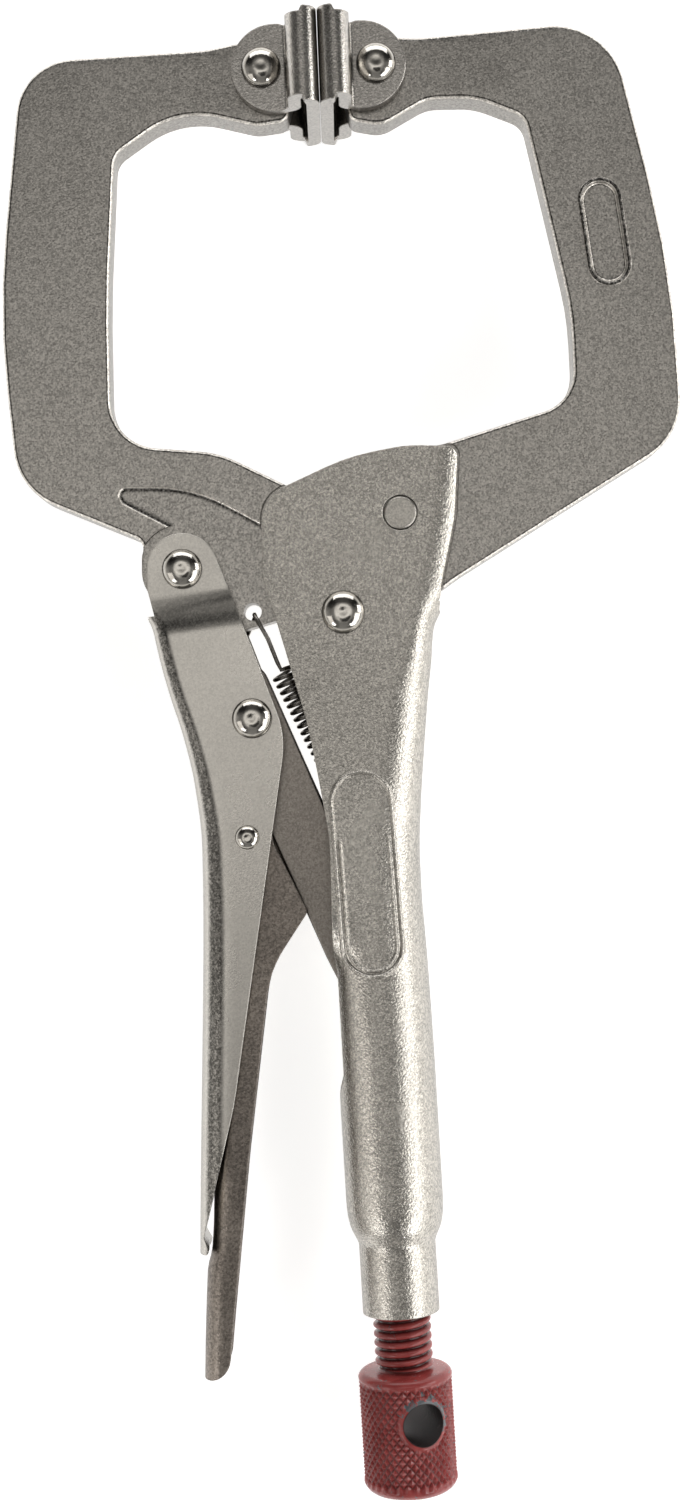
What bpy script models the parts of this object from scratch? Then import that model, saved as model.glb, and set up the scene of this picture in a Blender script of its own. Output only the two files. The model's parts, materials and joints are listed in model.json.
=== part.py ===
"""Locking C clamp, lying flat on its side.

Lengths below are in millimetres and are scaled to metres when a mesh is made. The clamp frame has
its origin on the jaw pivot, at half the clamp's thickness: X runs from the movable to the fixed
side, Y from the screw to the pads, and Z through the thickness. An empty holds that frame so that
the whole clamp stands on its bounding box's bottom centre.
"""
from math import asin, ceil, cos, degrees, pi, radians, sin, tan

import bmesh
import bpy
from mathutils import Matrix, Vector

MM = 0.001
CLAMP_PLACE = (0.05, 28.3, 15.02)       # jaw pivot in the part's own frame

# Pivots in the clamp frame.
JAW_PIVOT = (0.0, 0.0)
HANDLE_PIVOT = (-30.7, 8.2)
LINK_PIVOT = (-17.3, -20.3)
LINK_FOOT = (7.8, -76.7)
LEVER_PIVOT = (-18.2, -42.9)
JAW_RIVET = (10.9, 19.0)
SPRING_HOLE = (-17.3, 0.2)
MOVABLE_PAD_PIVOT = (-15.6, 103.3)
FIXED_PAD_PIVOT = (6.2, 104.2)
SCREW_TILT = radians(3.41)              # the screw's axis leans this far from Y

# Half thicknesses and sheet gauges.
ARM_HALF = 4.1
TONGUE_HALF = 3.5
LINK_HALF = 2.8
CHEEK_OUTER = 5.5
SHEET = 1.6
EAR_OUTER = 5.4
FLANGE_OUTER = 6.8
LEVER_OUTER = 4.9
LEVER_SHEET = 1.5
PAD_SHEET = 2.5
PAD_HALF_WIDTH = 15.0
PAD_EAR_OUTER = 6.9
GAP = 0.3
JAW_EDGE = 0.8
LINK_EDGE = 0.4
WELL_OUTSIDE = 15.0                     # reach of a cutter that clears every piece

# Hole radii. A pivot's hole runs on its rivet's shank.
JAW_PIVOT_HOLE = 3.3
PIVOT_HOLE = 2.8
LEVER_HOLE = 1.6
SPRING_HOLE_RADIUS = 1.7
JAW_RIVET_HOLE = 3.1
CHEEK_RIVET_HOLE = 3.4

# Screw, measured along its axis from the centre of the link's foot.
TUBE_RADIUS = 9.4
NECK_RADIUS = 7.45
NECK_END = -57.9
TIP_END = -9.4
THREAD_RADIUS = 5.6
THREAD_ROOT = 4.9
THREAD_PITCH = 1.75
KNOB_RADIUS = 9.15
KNOB_START = -69.2
KNOB_END = -92.3
CROSS_HOLE_RADIUS = 4.0
CROSS_HOLE_PLACE = -77.8
CROSS_HOLE_ANGLE = radians(20)

# Return spring.
WIRE_RADIUS = 0.32
COIL_RADIUS = 1.85
COIL_PITCH = 1.35
COIL_START = (-11.2, -10.6)
COIL_END = (-0.9, -36.8)
SPRING_STUD = (1.5, -43.0)
STUD_RADIUS = 1.2

ARC_STEP = 15.0                         # degrees of a fillet covered by one edge
TURNED_STEPS = 20
RIVET_STEPS = 14
COIL_STEPS = 6


# ---------------------------------------------------------------- outlines and meshes

def rounded(corners):
    """The points of an outline that is given by its corners (x, y, fillet radius)."""
    points = []
    for index, (x, y, radius) in enumerate(corners):
        corner = Vector((x, y))
        before = (Vector(corners[index - 1][:2]) - corner).normalized()
        after = (Vector(corners[(index + 1) % len(corners)][:2]) - corner).normalized()
        if radius == 0:
            points.append(corner)
            continue
        half = before.angle(after) / 2
        centre = corner + (before + after).normalized() * radius / sin(half)
        start = corner + before * radius / tan(half) - centre
        turn = pi - 2 * half
        side = 1 if before.cross(after) < 0 else -1
        count = max(1, ceil(degrees(turn) / ARC_STEP))
        for step in range(count + 1):
            points.append(centre + Matrix.Rotation(side * turn * step / count, 2) @ start)
    return points


def circle(centre, radius, count=24):
    """The points of a circle."""
    angles = [2 * pi * step / count for step in range(count)]
    return [Vector((centre[0] + radius * cos(a), centre[1] + radius * sin(a))) for a in angles]


def new_object(name, mesh, collection):
    obj = bpy.data.objects.new(name, mesh)
    collection.objects.link(obj)
    return obj


def mesh_of_curve(obj, name, collection):
    """Replaces a curve object by a mesh object with welded caps."""
    bpy.context.view_layer.update()
    evaluated = obj.evaluated_get(bpy.context.evaluated_depsgraph_get())
    mesh = bpy.data.meshes.new_from_object(evaluated)
    mesh.name = name
    shape = bmesh.new()
    shape.from_mesh(mesh)
    bmesh.ops.remove_doubles(shape, verts=shape.verts, dist=0.001 * MM)
    bmesh.ops.recalc_face_normals(shape, faces=shape.faces)
    shape.to_mesh(mesh)
    shape.free()
    piece = new_object(name, mesh, collection)
    piece.matrix_world = obj.matrix_world
    curve = obj.data
    bpy.data.objects.remove(obj)
    bpy.data.curves.remove(curve)
    return piece


def plate(name, outline, low, high, collection, edge=0.0):
    """A flat outline between two heights. Its rounded edge stands outside the outline."""
    curve = bpy.data.curves.new(name + "_outline", "CURVE")
    curve.dimensions = "2D"
    curve.fill_mode = "BOTH"
    curve.extrude = ((high - low) / 2 - edge) * MM
    curve.bevel_depth = edge * MM
    curve.bevel_resolution = 0
    spline = curve.splines.new("POLY")
    spline.points.add(len(outline) - 1)
    for target, point in zip(spline.points, outline):
        target.co = (point[0] * MM, point[1] * MM, 0, 1)
    spline.use_cyclic_u = True
    obj = new_object(name + "_curve", curve, collection)
    obj.location.z = (low + high) / 2 * MM
    piece = mesh_of_curve(obj, name, collection)
    piece.data.transform(Matrix.Translation(piece.location))
    piece.location = (0, 0, 0)
    return piece


def sheet(name, rows, thickness, collection, offset=-1):
    """A surface through rows of points, thickened against its normals."""
    shape = bmesh.new()
    grid = [[shape.verts.new(Vector(point) * MM) for point in row] for row in rows]
    for upper, lower in zip(grid, grid[1:]):
        for column in range(len(upper) - 1):
            corners = (upper[column], upper[column + 1], lower[column + 1], lower[column])
            shape.faces.new(corners)
    mesh = bpy.data.meshes.new(name)
    shape.to_mesh(mesh)
    shape.free()
    obj = new_object(name, mesh, collection)
    solidify = obj.modifiers.new("gauge", "SOLIDIFY")
    solidify.thickness = thickness * MM
    solidify.offset = offset
    solidify.use_even_offset = True
    return obj


def turned(name, profile, collection, steps=TURNED_STEPS):
    """A solid turned about Z from (radius, height) points that run from top to bottom."""
    mesh = bpy.data.meshes.new(name)
    points = [(radius * MM, 0, height * MM) for radius, height in profile]
    edges = [(index, index + 1) for index in range(len(points) - 1)]
    mesh.from_pydata(points, edges, [])
    obj = new_object(name, mesh, collection)
    screw = obj.modifiers.new("turn", "SCREW")
    screw.steps = steps
    screw.render_steps = steps
    screw.use_merge_vertices = True
    screw.merge_threshold = 0.00001
    return obj


def boolean(obj, cutter, operation="DIFFERENCE"):
    """Cuts, keeps or joins with a helper solid, which stays hidden."""
    modifier = obj.modifiers.new(operation.lower(), "BOOLEAN")
    modifier.operation = operation
    modifier.object = cutter
    cutter.hide_render = True
    cutter.display_type = "WIRE"
    cutter.parent = obj


def drill(obj, centre, radius, cutters):
    """A round hole along Z."""
    name = obj.name + "_hole"
    boolean(obj, plate(name, circle(centre, radius), -WELL_OUTSIDE, WELL_OUTSIDE, cutters))


def material(name, colour, roughness, metallic):
    finish = bpy.data.materials.new(name)
    finish.use_nodes = True
    surface = finish.node_tree.nodes["Principled BSDF"]
    surface.inputs["Base Color"].default_value = (*colour, 1)
    surface.inputs["Roughness"].default_value = roughness
    surface.inputs["Metallic"].default_value = metallic
    return finish


def finish_piece(obj, frame, colour, roughness=0.45, metallic=1.0):
    """Gives a piece its material, smooth shading and its place on a joint's frame."""
    obj.data.materials.append(material(obj.name, colour, roughness, metallic))
    obj.data.shade_smooth()
    if obj.type == "MESH":
        obj.data.set_sharp_from_angle(angle=radians(40))
    obj.parent = frame
    obj.location = Vector(obj.location) - Vector(frame["centre"])


# ---------------------------------------------------------------- joint frames

def joint_frame(name, centre, parent, collection):
    """An empty on a joint's axis; its pieces are modelled in the clamp frame."""
    empty = bpy.data.objects.new(name, None)
    empty.empty_display_size = 10 * MM
    collection.objects.link(empty)
    empty["centre"] = (centre[0] * MM, centre[1] * MM, 0.0)
    if parent is None:
        empty.location = Vector(CLAMP_PLACE) * MM
    else:
        empty.parent = parent
        empty.location = Vector(empty["centre"]) - Vector(parent["centre"])
    return empty


def screw_frame_matrix():
    """From the screw's own frame, with Y up its axis and its origin at the link's foot."""
    place = Matrix.Translation((LINK_FOOT[0] * MM, LINK_FOOT[1] * MM, 0))
    return place @ Matrix.Rotation(SCREW_TILT, 4, "Z")


# ---------------------------------------------------------------- forged jaws

MOVABLE_JAW_OUTLINE = [
    (-11.4, 94.8, 1.2), (-9.4, 103.2, 12), (-11.0, 107.8, 2.0), (-20.5, 108.2, 6),
    (-26.5, 106.9, 12), (-61.0, 104.6, 10.5), (-65.3, 57.5, 150), (-61.5, 23.9, 12),
    (-37.0, 14.0, 3), (-37.8, 10.6, 1), (-37.8, 3.2, 6.8), (-20.2, -2.9, 2.6), (-8.1, 0.7, 1.1),
    (-7.9, -7.9, 6.8), (7.9, -7.9, 7.8), (7.9, 7.2, 7.4), (-10.6, 23.4, 8), (-24.0, 29.9, 20),
    (-45.2, 31.4, 10), (-45.8, 60.0, 150), (-44.6, 88.0, 5), (-31.5, 97.4, 18), (-16.5, 94.0, 6),
]

FIXED_JAW_OUTLINE = [
    (-0.1, 103.2, 12), (2.0, 95.0, 1.2), (7.3, 94.1, 5), (16.0, 99.2, 9), (25.5, 99.4, 15),
    (35.4, 95.6, 5), (44.4, 58.0, 60), (45.3, 39.9, 9), (19.5, 31.6, 1.8), (7.0, 29.2, 2),
    (0.9, 18.9, 1), (11.4, 9.8, 2), (11.4, -2.1, 0.4), (12.6, -2.1, 0.4), (12.9, 3.7, 1.6),
    (16.6, 3.7, 1.5), (22.0, 7.6, 5), (64.1, 34.3, 12), (62.8, 64.0, 190), (50.2, 112.7, 13),
    (14.0, 109.2, 30), (1.8, 110.0, 2.0),
]

CRESCENT_OUTLINE = [
    (-43.5, 23.9, 1.0), (-29.8, 23.9, 28), (-16.9, 17.6, 0), (-15.4, 21.6, 4), (-9.0, 25.5, 0),
    (14.0, 25.5, 0), (14.0, -14.0, 0), (-30.7, -14.0, 0), (-31.5, 14.2, 0), (-43.0, 21.5, 1.0),
]

SHELL_SIDE = [
    (21.9, 31.7, 2.0), (21.3, 18.0, 20), (18.8, 5.5, 6), (18.5, 0.6, 0), (30.0, -8.0, 0),
    (30.0, -145.0, 0), (-6.0, -145.0, 0), (-4.0, -66.5, 0), (-2.0, -63.0, 0), (-2.5, -43.0, 40),
    (-6.6, -21.8, 60), (-15.4, 7.0, 14), (-15.4, 22.0, 6.5), (1.0, 29.7, 40), (12.0, 31.9, 25),
]

JAW_SHOULDER_OUTLINE = [
    (-6.0, 32.4, 0), (22.4, 32.4, 2.2), (21.8, 18.0, 20), (19.2, 5.4, 6), (19.0, -8.0, 0),
    (-6.0, -8.0, 0),
]


def recess(jaw, name, outline, cutters):
    """Thins both faces of a jaw to the tongue's thickness inside an outline."""
    reach = ARM_HALF + 2
    boolean(jaw, plate(name + "_front", outline, TONGUE_HALF, reach, cutters))
    boolean(jaw, plate(name + "_back", outline, -reach, -TONGUE_HALF, cutters))


def make_movable_jaw(frame, parts, cutters):
    jaw = plate("movable_jaw", rounded(MOVABLE_JAW_OUTLINE), -ARM_HALF, ARM_HALF, parts, edge=JAW_EDGE)
    recess(jaw, "crescent", rounded(CRESCENT_OUTLINE), cutters)
    recess(jaw, "ear_seat", circle(HANDLE_PIVOT, 8.7), cutters)
    drill(jaw, JAW_PIVOT, JAW_PIVOT_HOLE, cutters)
    drill(jaw, HANDLE_PIVOT, PIVOT_HOLE, cutters)
    drill(jaw, SPRING_HOLE, SPRING_HOLE_RADIUS, cutters)
    drill(jaw, MOVABLE_PAD_PIVOT, PIVOT_HOLE, cutters)
    finish_piece(jaw, frame, (0.29, 0.27, 0.25), roughness=0.55)


def make_fixed_jaw(frame, parts, cutters):
    jaw = plate("fixed_jaw", rounded(FIXED_JAW_OUTLINE), -ARM_HALF, ARM_HALF, parts, edge=JAW_EDGE)
    recess(jaw, "shoulder", rounded(JAW_SHOULDER_OUTLINE), cutters)
    drill(jaw, JAW_RIVET, JAW_RIVET_HOLE, cutters)
    drill(jaw, FIXED_PAD_PIVOT, PIVOT_HOLE, cutters)
    finish_piece(jaw, frame, (0.29, 0.27, 0.25), roughness=0.55)


# ---------------------------------------------------------------- fixed handle

# Height along the screw's axis, back of the spine, depth of its bend, half width, reach of the
# cheeks, how far the cheeks are closed to a tube (0 to 1) and half the seam's width.
FIXED_HANDLE_STATIONS = [
    (112.0, 23.6, 7.4, 5.5, -32, 0, 0),
    (81.0, 18.6, 7.4, 5.5, -32, 0, 0),
    (76.5, 15.8, 5.8, 5.5, -30, 0, 0),
    (73.0, 14.1, 4.7, 5.5, -28, 0, 0),
    (67.0, 13.3, 6.0, 5.8, -26, 0, 0),
    (60.0, 12.2, 8.3, 6.3, -24, 0, 0),
    (50.0, 10.9, 8.9, 7.1, -18, 0, 0),
    (40.0, 9.7, 9.1, 7.9, -14, 0, 0),
    (30.0, 8.9, 9.2, 8.6, -11, 0, 0),
    (22.0, 8.8, 9.2, 9.0, -10, 0, 0),
    (14.0, 9.0, 9.2, 9.2, -9.5, 0.4, 4.2),
    (9.0, 9.2, 9.3, 9.3, -9.4, 1, 4.2),
    (-12.0, TUBE_RADIUS, TUBE_RADIUS, TUBE_RADIUS, 0, 1, 4.2),
    (-17.0, TUBE_RADIUS, TUBE_RADIUS, TUBE_RADIUS, 0, 1, 0.5),
    (-35.5, TUBE_RADIUS, TUBE_RADIUS, TUBE_RADIUS, 0, 1, 0.5),
    (-38.5, 9.1, 9.1, 9.1, 0, 1, 0.5),
    (-41.5, 8.3, 8.3, 8.3, 0, 1, 0.5),
    (-44.5, NECK_RADIUS, NECK_RADIUS, NECK_RADIUS, 0, 1, 0.5),
    (NECK_END, NECK_RADIUS, NECK_RADIUS, NECK_RADIUS, 0, 1, 0.5),
]
BEND_STEPS = 6
CHEEK_STEPS = 4


def channel_row(height, spine, depth, half_width, reach, closing, seam):
    """One cross-section of the fixed handle, from the back cheek's edge to the front one's."""
    half = []
    for step in range(BEND_STEPS + 1):
        angle = pi / 2 * step / BEND_STEPS
        half.append((spine - depth + depth * cos(angle), half_width * sin(angle)))
    seam_angle = pi - asin(seam / half_width)
    for step in range(1, CHEEK_STEPS + 1):
        part = step / CHEEK_STEPS
        flat = Vector((spine - depth + part * (reach - spine + depth), half_width))
        angle = pi / 2 + part * (seam_angle - pi / 2)
        tube = Vector((spine - depth + depth * cos(angle), half_width * sin(angle)))
        half.append(tuple(flat.lerp(tube, closing)))
    back = [(x, height, -z) for x, z in reversed(half[1:])]
    return back + [(x, height, z) for x, z in half]


def make_fixed_handle(frame, parts, cutters):
    rows = [channel_row(*station) for station in FIXED_HANDLE_STATIONS]
    handle = sheet("fixed_handle", rows, SHEET, parts)
    handle.data.transform(screw_frame_matrix())
    side = plate("fixed_handle_side", rounded(SHELL_SIDE), -WELL_OUTSIDE, WELL_OUTSIDE, cutters)
    boolean(handle, side, "INTERSECT")
    slot = [(8.0, 2.3), (30.0, 2.3), (30.0, 40.0), (8.0, 40.0)]
    slot_half = TONGUE_HALF + GAP
    boolean(handle, plate("jaw_slot", slot, -slot_half, slot_half, cutters))
    drill(handle, JAW_PIVOT, JAW_PIVOT_HOLE, cutters)
    drill(handle, JAW_RIVET, CHEEK_RIVET_HOLE, cutters)
    stud = plate("spring_stud", circle(SPRING_STUD, STUD_RADIUS, 12), -7.6, 1.6, cutters)
    boolean(handle, stud, "UNION")
    finish_piece(handle, frame, (0.36, 0.33, 0.30), roughness=0.5)


# ---------------------------------------------------------------- movable handle and lever

# Height, back of the spine, depth of its bend and half width.
MOVABLE_HANDLE_STATIONS = [
    (17.0, -40.4, 3.0, EAR_OUTER), (3.6, -40.4, 3.0, EAR_OUTER), (2.2, -39.8, 3.0, 5.5),
    (-1.6, -37.2, 3.2, 6.6), (-3.2, -36.5, 3.4, FLANGE_OUTER), (-9.7, -35.0, 3.5, FLANGE_OUTER),
    (-16.0, -33.2, 3.5, FLANGE_OUTER), (-24.0, -30.6, 3.5, FLANGE_OUTER),
    (-33.0, -28.5, 3.5, FLANGE_OUTER), (-45.0, -27.1, 3.5, FLANGE_OUTER),
    (-60.0, -26.9, 3.5, FLANGE_OUTER), (-123.0, -27.5, 3.5, FLANGE_OUTER),
]

MOVABLE_HANDLE_SIDE = [
    (-37.6, 15.1, 6.6), (-37.3, 4.0, 6), (-36.0, -0.8, 0), (-45.0, -1.4, 0), (-45.0, -118.0, 0),
    (-28.6, -122.9, 0), (-25.0, -122.9, 1.0), (-26.6, -119.6, 1.0), (-20.7, -94.0, 60),
    (-10.9, -23.5, 18), (-17.5, -6.5, 40), (-26.1, 15.1, 6.9),
]

# Height and back of the web.
LEVER_STATIONS = [
    (-34.0, -24.6), (-60.0, -24.4), (-116.0, -24.9), (-122.0, -25.2), (-126.5, -26.1),
    (-149.0, -26.6),
]

LEVER_SIDE = [
    (-23.5, -36.9, 5.5), (-13.6, -36.9, 5.0), (-13.6, -43.6, 6), (-6.7, -57.2, 1.5),
    (-14.0, -68.5, 22), (-18.1, -105.0, 90), (-20.9, -136.0, 60), (-21.8, -147.1, 4.5),
    (-27.2, -147.1, 1.0), (-27.2, -120.0, 0), (-25.5, -50.0, 0),
]


def web_row(height, spine, depth, half_width, reach):
    """One cross-section of a channel that is open towards +X."""
    bend = []
    for step in range(5):
        angle = pi / 2 * step / 4
        x = spine + depth - depth * cos(angle)
        bend.append((x, half_width - depth + depth * sin(angle)))
    half = bend + [(reach, half_width)]
    front = [(x, height, z) for x, z in reversed(half)]
    return front + [(x, height, -z) for x, z in half]


def make_movable_handle(frame, parts, cutters):
    rows = [web_row(*station, -6.0) for station in MOVABLE_HANDLE_STATIONS]
    handle = sheet("movable_handle", rows, SHEET, parts)
    side = plate("movable_handle_side", rounded(MOVABLE_HANDLE_SIDE),
                 -WELL_OUTSIDE, WELL_OUTSIDE, cutters)
    boolean(handle, side, "INTERSECT")
    fork = [(-50.0, -1.6), (0.0, -1.6), (0.0, 20.0), (-50.0, 20.0)]
    fork_half = TONGUE_HALF + GAP
    boolean(handle, plate("ear_fork", fork, -fork_half, fork_half, cutters))
    drill(handle, HANDLE_PIVOT, PIVOT_HOLE, cutters)
    drill(handle, LINK_PIVOT, PIVOT_HOLE, cutters)
    drill(handle, LEVER_PIVOT, LEVER_HOLE, cutters)
    finish_piece(handle, frame, (0.42, 0.39, 0.35), roughness=0.4)


def make_release_lever(frame, parts, cutters):
    rows = [web_row(height, web, 2.0, LEVER_OUTER, 0.0) for height, web in LEVER_STATIONS]
    lever = sheet("release_lever", rows, LEVER_SHEET, parts)
    side = plate("release_lever_side", rounded(LEVER_SIDE),
                 -WELL_OUTSIDE, WELL_OUTSIDE, cutters)
    boolean(lever, side, "INTERSECT")
    fork = [(-40.0, -52.0), (0.0, -52.0), (0.0, -30.0), (-40.0, -30.0)]
    fork_half = LEVER_OUTER - LEVER_SHEET - 0.05
    boolean(lever, plate("lever_fork", fork, -fork_half, fork_half, cutters))
    drill(lever, LEVER_PIVOT, LEVER_HOLE, cutters)
    finish_piece(lever, frame, (0.20, 0.17, 0.14), roughness=0.5)


def make_toggle_link(frame, parts, cutters):
    along = Vector(LINK_FOOT) - Vector(LINK_PIVOT)
    length = along.length
    half = 5.75 - LINK_EDGE
    foot = 5.4 - LINK_EDGE
    bar = [
        (-half, -10.6, 4.4), (half, -10.6, 4.4), (half, length - 14, 12), (foot, length - 8, 0),
        (foot, length + foot, foot), (-foot, length + foot, foot), (-foot, length - 8, 0),
        (-half, length - 14, 12),
    ]
    heading = along.angle_signed(Vector((0, 1)))
    outline = [Matrix.Rotation(heading, 2) @ point + Vector(LINK_PIVOT) for point in rounded(bar)]
    link = plate("toggle_link", outline, -LINK_HALF, LINK_HALF, parts, edge=LINK_EDGE)
    drill(link, LINK_PIVOT, PIVOT_HOLE, cutters)
    finish_piece(link, frame, (0.30, 0.28, 0.25), roughness=0.45)


# ---------------------------------------------------------------- adjusting screw and spring

def thread_profile(start, end):
    """A ring for each turn of the thread that shows between the neck and the knob."""
    count = int((start - end) / THREAD_PITCH)
    profile = []
    for turn in range(count):
        top = start - turn * THREAD_PITCH
        profile += [(THREAD_RADIUS, top), (THREAD_RADIUS, top - 0.25 * THREAD_PITCH)]
        profile += [(THREAD_ROOT, top - 0.5 * THREAD_PITCH)]
        profile += [(THREAD_ROOT, top - 0.75 * THREAD_PITCH)]
    return profile


def make_adjusting_screw(frame, parts, cutters):
    round_tip = [(0, TIP_END), (2.6, TIP_END - 0.5), (THREAD_RADIUS - 0.8, TIP_END - 2.4)]
    shank = [(THREAD_RADIUS, TIP_END - 3.6)]
    thread = thread_profile(NECK_END + 1.5, KNOB_START)
    knob = [
        (THREAD_ROOT, KNOB_START), (KNOB_RADIUS - 1.6, KNOB_START),
        (KNOB_RADIUS, KNOB_START - 1.6), (KNOB_RADIUS, KNOB_END + 1.8),
        (KNOB_RADIUS - 1.8, KNOB_END), (0, KNOB_END),
    ]
    screw = turned("adjusting_screw", round_tip + shank + thread + knob, parts)
    bar = [(0, WELL_OUTSIDE), (CROSS_HOLE_RADIUS, WELL_OUTSIDE)]
    bar += [(radius, -height) for radius, height in reversed(bar)]
    hole = turned("cross_hole", bar, cutters, steps=40)
    hole.location = (0, 0, CROSS_HOLE_PLACE * MM)
    hole.rotation_euler = (pi / 2, 0, CROSS_HOLE_ANGLE)
    boolean(screw, hole)
    upright = Matrix.Rotation(-pi / 2, 4, "X")
    screw.matrix_world = screw_frame_matrix() @ upright
    finish_piece(screw, frame, (0.20, 0.018, 0.02), roughness=0.35, metallic=0.3)


def spring_route():
    """Centre line of the spring: upper hook, coil and lower loop."""
    start = Vector((*COIL_START, 0))
    end = Vector((*COIL_END, 0))
    axis = (end - start).normalized()
    side = Vector((-axis.y, axis.x, 0))
    turns = round((end - start).length / COIL_PITCH)
    hole = Vector((*SPRING_HOLE, 0))
    face = TONGUE_HALF + WIRE_RADIUS + GAP
    route = [hole + Vector((-1.6, -4.6, -face)), hole + Vector((-0.6, -2.2, -face - 0.1)),
             hole + Vector((0.1, -0.6, -face + 0.5)), hole + Vector((0.2, -0.3, 0)),
             hole + Vector((0.3, -0.6, face - 0.6)), hole + Vector((0.9, -1.7, face)),
             hole + Vector((2.9, -5.2, face)), start - axis * 1.6 + Vector((0, 0, 2.6))]
    for step in range(turns * COIL_STEPS + 1):
        angle = 2 * pi * step / COIL_STEPS
        around = Vector((0, 0, 1)) * cos(angle) + side * sin(angle)
        route.append(start + axis * (COIL_PITCH * step / COIL_STEPS) + around * COIL_RADIUS)
    stud = Vector((*SPRING_STUD, 0))
    loop = STUD_RADIUS + WIRE_RADIUS + GAP
    opening = -axis
    for step in range(11):
        angle = radians(-50 - 26 * step)
        arm = Matrix.Rotation(angle, 3, "Z") @ opening
        route.append(stud + arm * loop)
    return route


def make_return_spring(frame, parts):
    route = spring_route()
    curve = bpy.data.curves.new("return_spring", "CURVE")
    curve.dimensions = "3D"
    curve.bevel_depth = WIRE_RADIUS * MM
    curve.bevel_resolution = 2
    curve.use_fill_caps = True
    spline = curve.splines.new("POLY")
    spline.points.add(len(route) - 1)
    for target, point in zip(spline.points, route):
        target.co = (*(point * MM), 1)
    spring = mesh_of_curve(new_object("spring_wire", curve, parts), "return_spring", parts)
    finish_piece(spring, frame, (0.06, 0.055, 0.05), roughness=0.4)


# ---------------------------------------------------------------- rivets

def dome(radius, base, height, steps=3):
    """A rounded rivet head above a base height, from its crown to its rim."""
    points = []
    for step in range(steps + 1):
        angle = pi / 2 * step / steps
        points.append((radius * sin(angle), base + height * (0.35 + 0.65 * cos(angle))))
    return points + [(radius, base)]


def make_rivet(name, centre, shank, head, seat, frame, parts):
    """A rivet with two domed heads that sit on faces at plus and minus seat."""
    base = seat + 0.2
    upper = dome(head, base, 0.5 * head) + [(shank, base)]
    lower = [(radius, -height) for radius, height in reversed(upper)]
    rivet = turned(name, upper + lower, parts, steps=RIVET_STEPS)
    rivet.location = (centre[0] * MM, centre[1] * MM, 0)
    finish_piece(rivet, frame, (0.40, 0.38, 0.36), roughness=0.2)


def make_flush_rivet(name, centre, radius, half, frame, parts):
    """A rivet that is ground flush with both faces."""
    profile = [(0, half), (radius, half), (radius, half - SHEET - 0.2), (radius - 0.3, half - 2.0)]
    profile += [(r, -h) for r, h in reversed(profile)]
    rivet = turned(name, profile, parts, steps=RIVET_STEPS)
    rivet.location = (centre[0] * MM, centre[1] * MM, 0)
    finish_piece(rivet, frame, (0.33, 0.31, 0.28), roughness=0.4)


# ---------------------------------------------------------------- swivel pads

PAD_OUTLINE = [
    (12.0, -8.85, 0), (12.0, 8.85, 0), (8.1, 8.85, 0.5), (7.6, 7.8, 0), (5.0, 7.8, 1),
    (3.6, 8.3, 1), (-5.7, 8.3, 8.28), (-5.7, -8.3, 8.28), (3.6, -8.3, 1), (5.0, -7.8, 1),
    (7.6, -7.8, 0), (8.1, -8.85, 0.5),
]


def pad_section(face):
    """Half of the pad's folded section, from the end of an ear to the middle of the face."""
    plate_x = face - PAD_SHEET / 2
    fold = 1.75
    back_x = plate_x - 2 * fold
    ear_z = PAD_EAR_OUTER - PAD_SHEET / 2
    rim = PAD_HALF_WIDTH - PAD_SHEET / 2 - fold
    bend = 1.9
    points = [(-9.0, ear_z)]
    for step in range(4):
        angle = pi / 2 * step / 3
        points.append((back_x - bend + bend * sin(angle), ear_z + bend - bend * cos(angle)))
    for step in range(9):
        angle = pi * step / 8
        points.append((back_x + fold - fold * cos(angle), rim + fold * sin(angle)))
    return points


def make_pad(name, pivot, towards, frame, parts, cutters):
    """A pad folded from one sheet, with its face towards the other pad's pivot."""
    face = (Vector(towards) - Vector(pivot)).length / 2 - 0.2
    half = pad_section(face)
    section = half + [(x, -z) for x, z in reversed(half)]
    rows = [[(x, side, z) for x, z in section] for side in (-10.0, 10.0)]
    pad = sheet(name, rows, PAD_SHEET, parts, offset=0)
    side = plate(name + "_side", rounded(PAD_OUTLINE), -PAD_HALF_WIDTH - 5, PAD_HALF_WIDTH + 5, cutters)
    boolean(pad, side, "INTERSECT")
    drill(pad, (0, 0), PIVOT_HOLE, cutters)
    heading = Vector(towards) - Vector(pivot)
    pad.rotation_euler.z = Vector((1, 0)).angle_signed(heading) * -1
    pad.location = (pivot[0] * MM, pivot[1] * MM, 0)
    finish_piece(pad, frame, (0.45, 0.44, 0.43), roughness=0.3)


# ---------------------------------------------------------------- assembly

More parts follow.
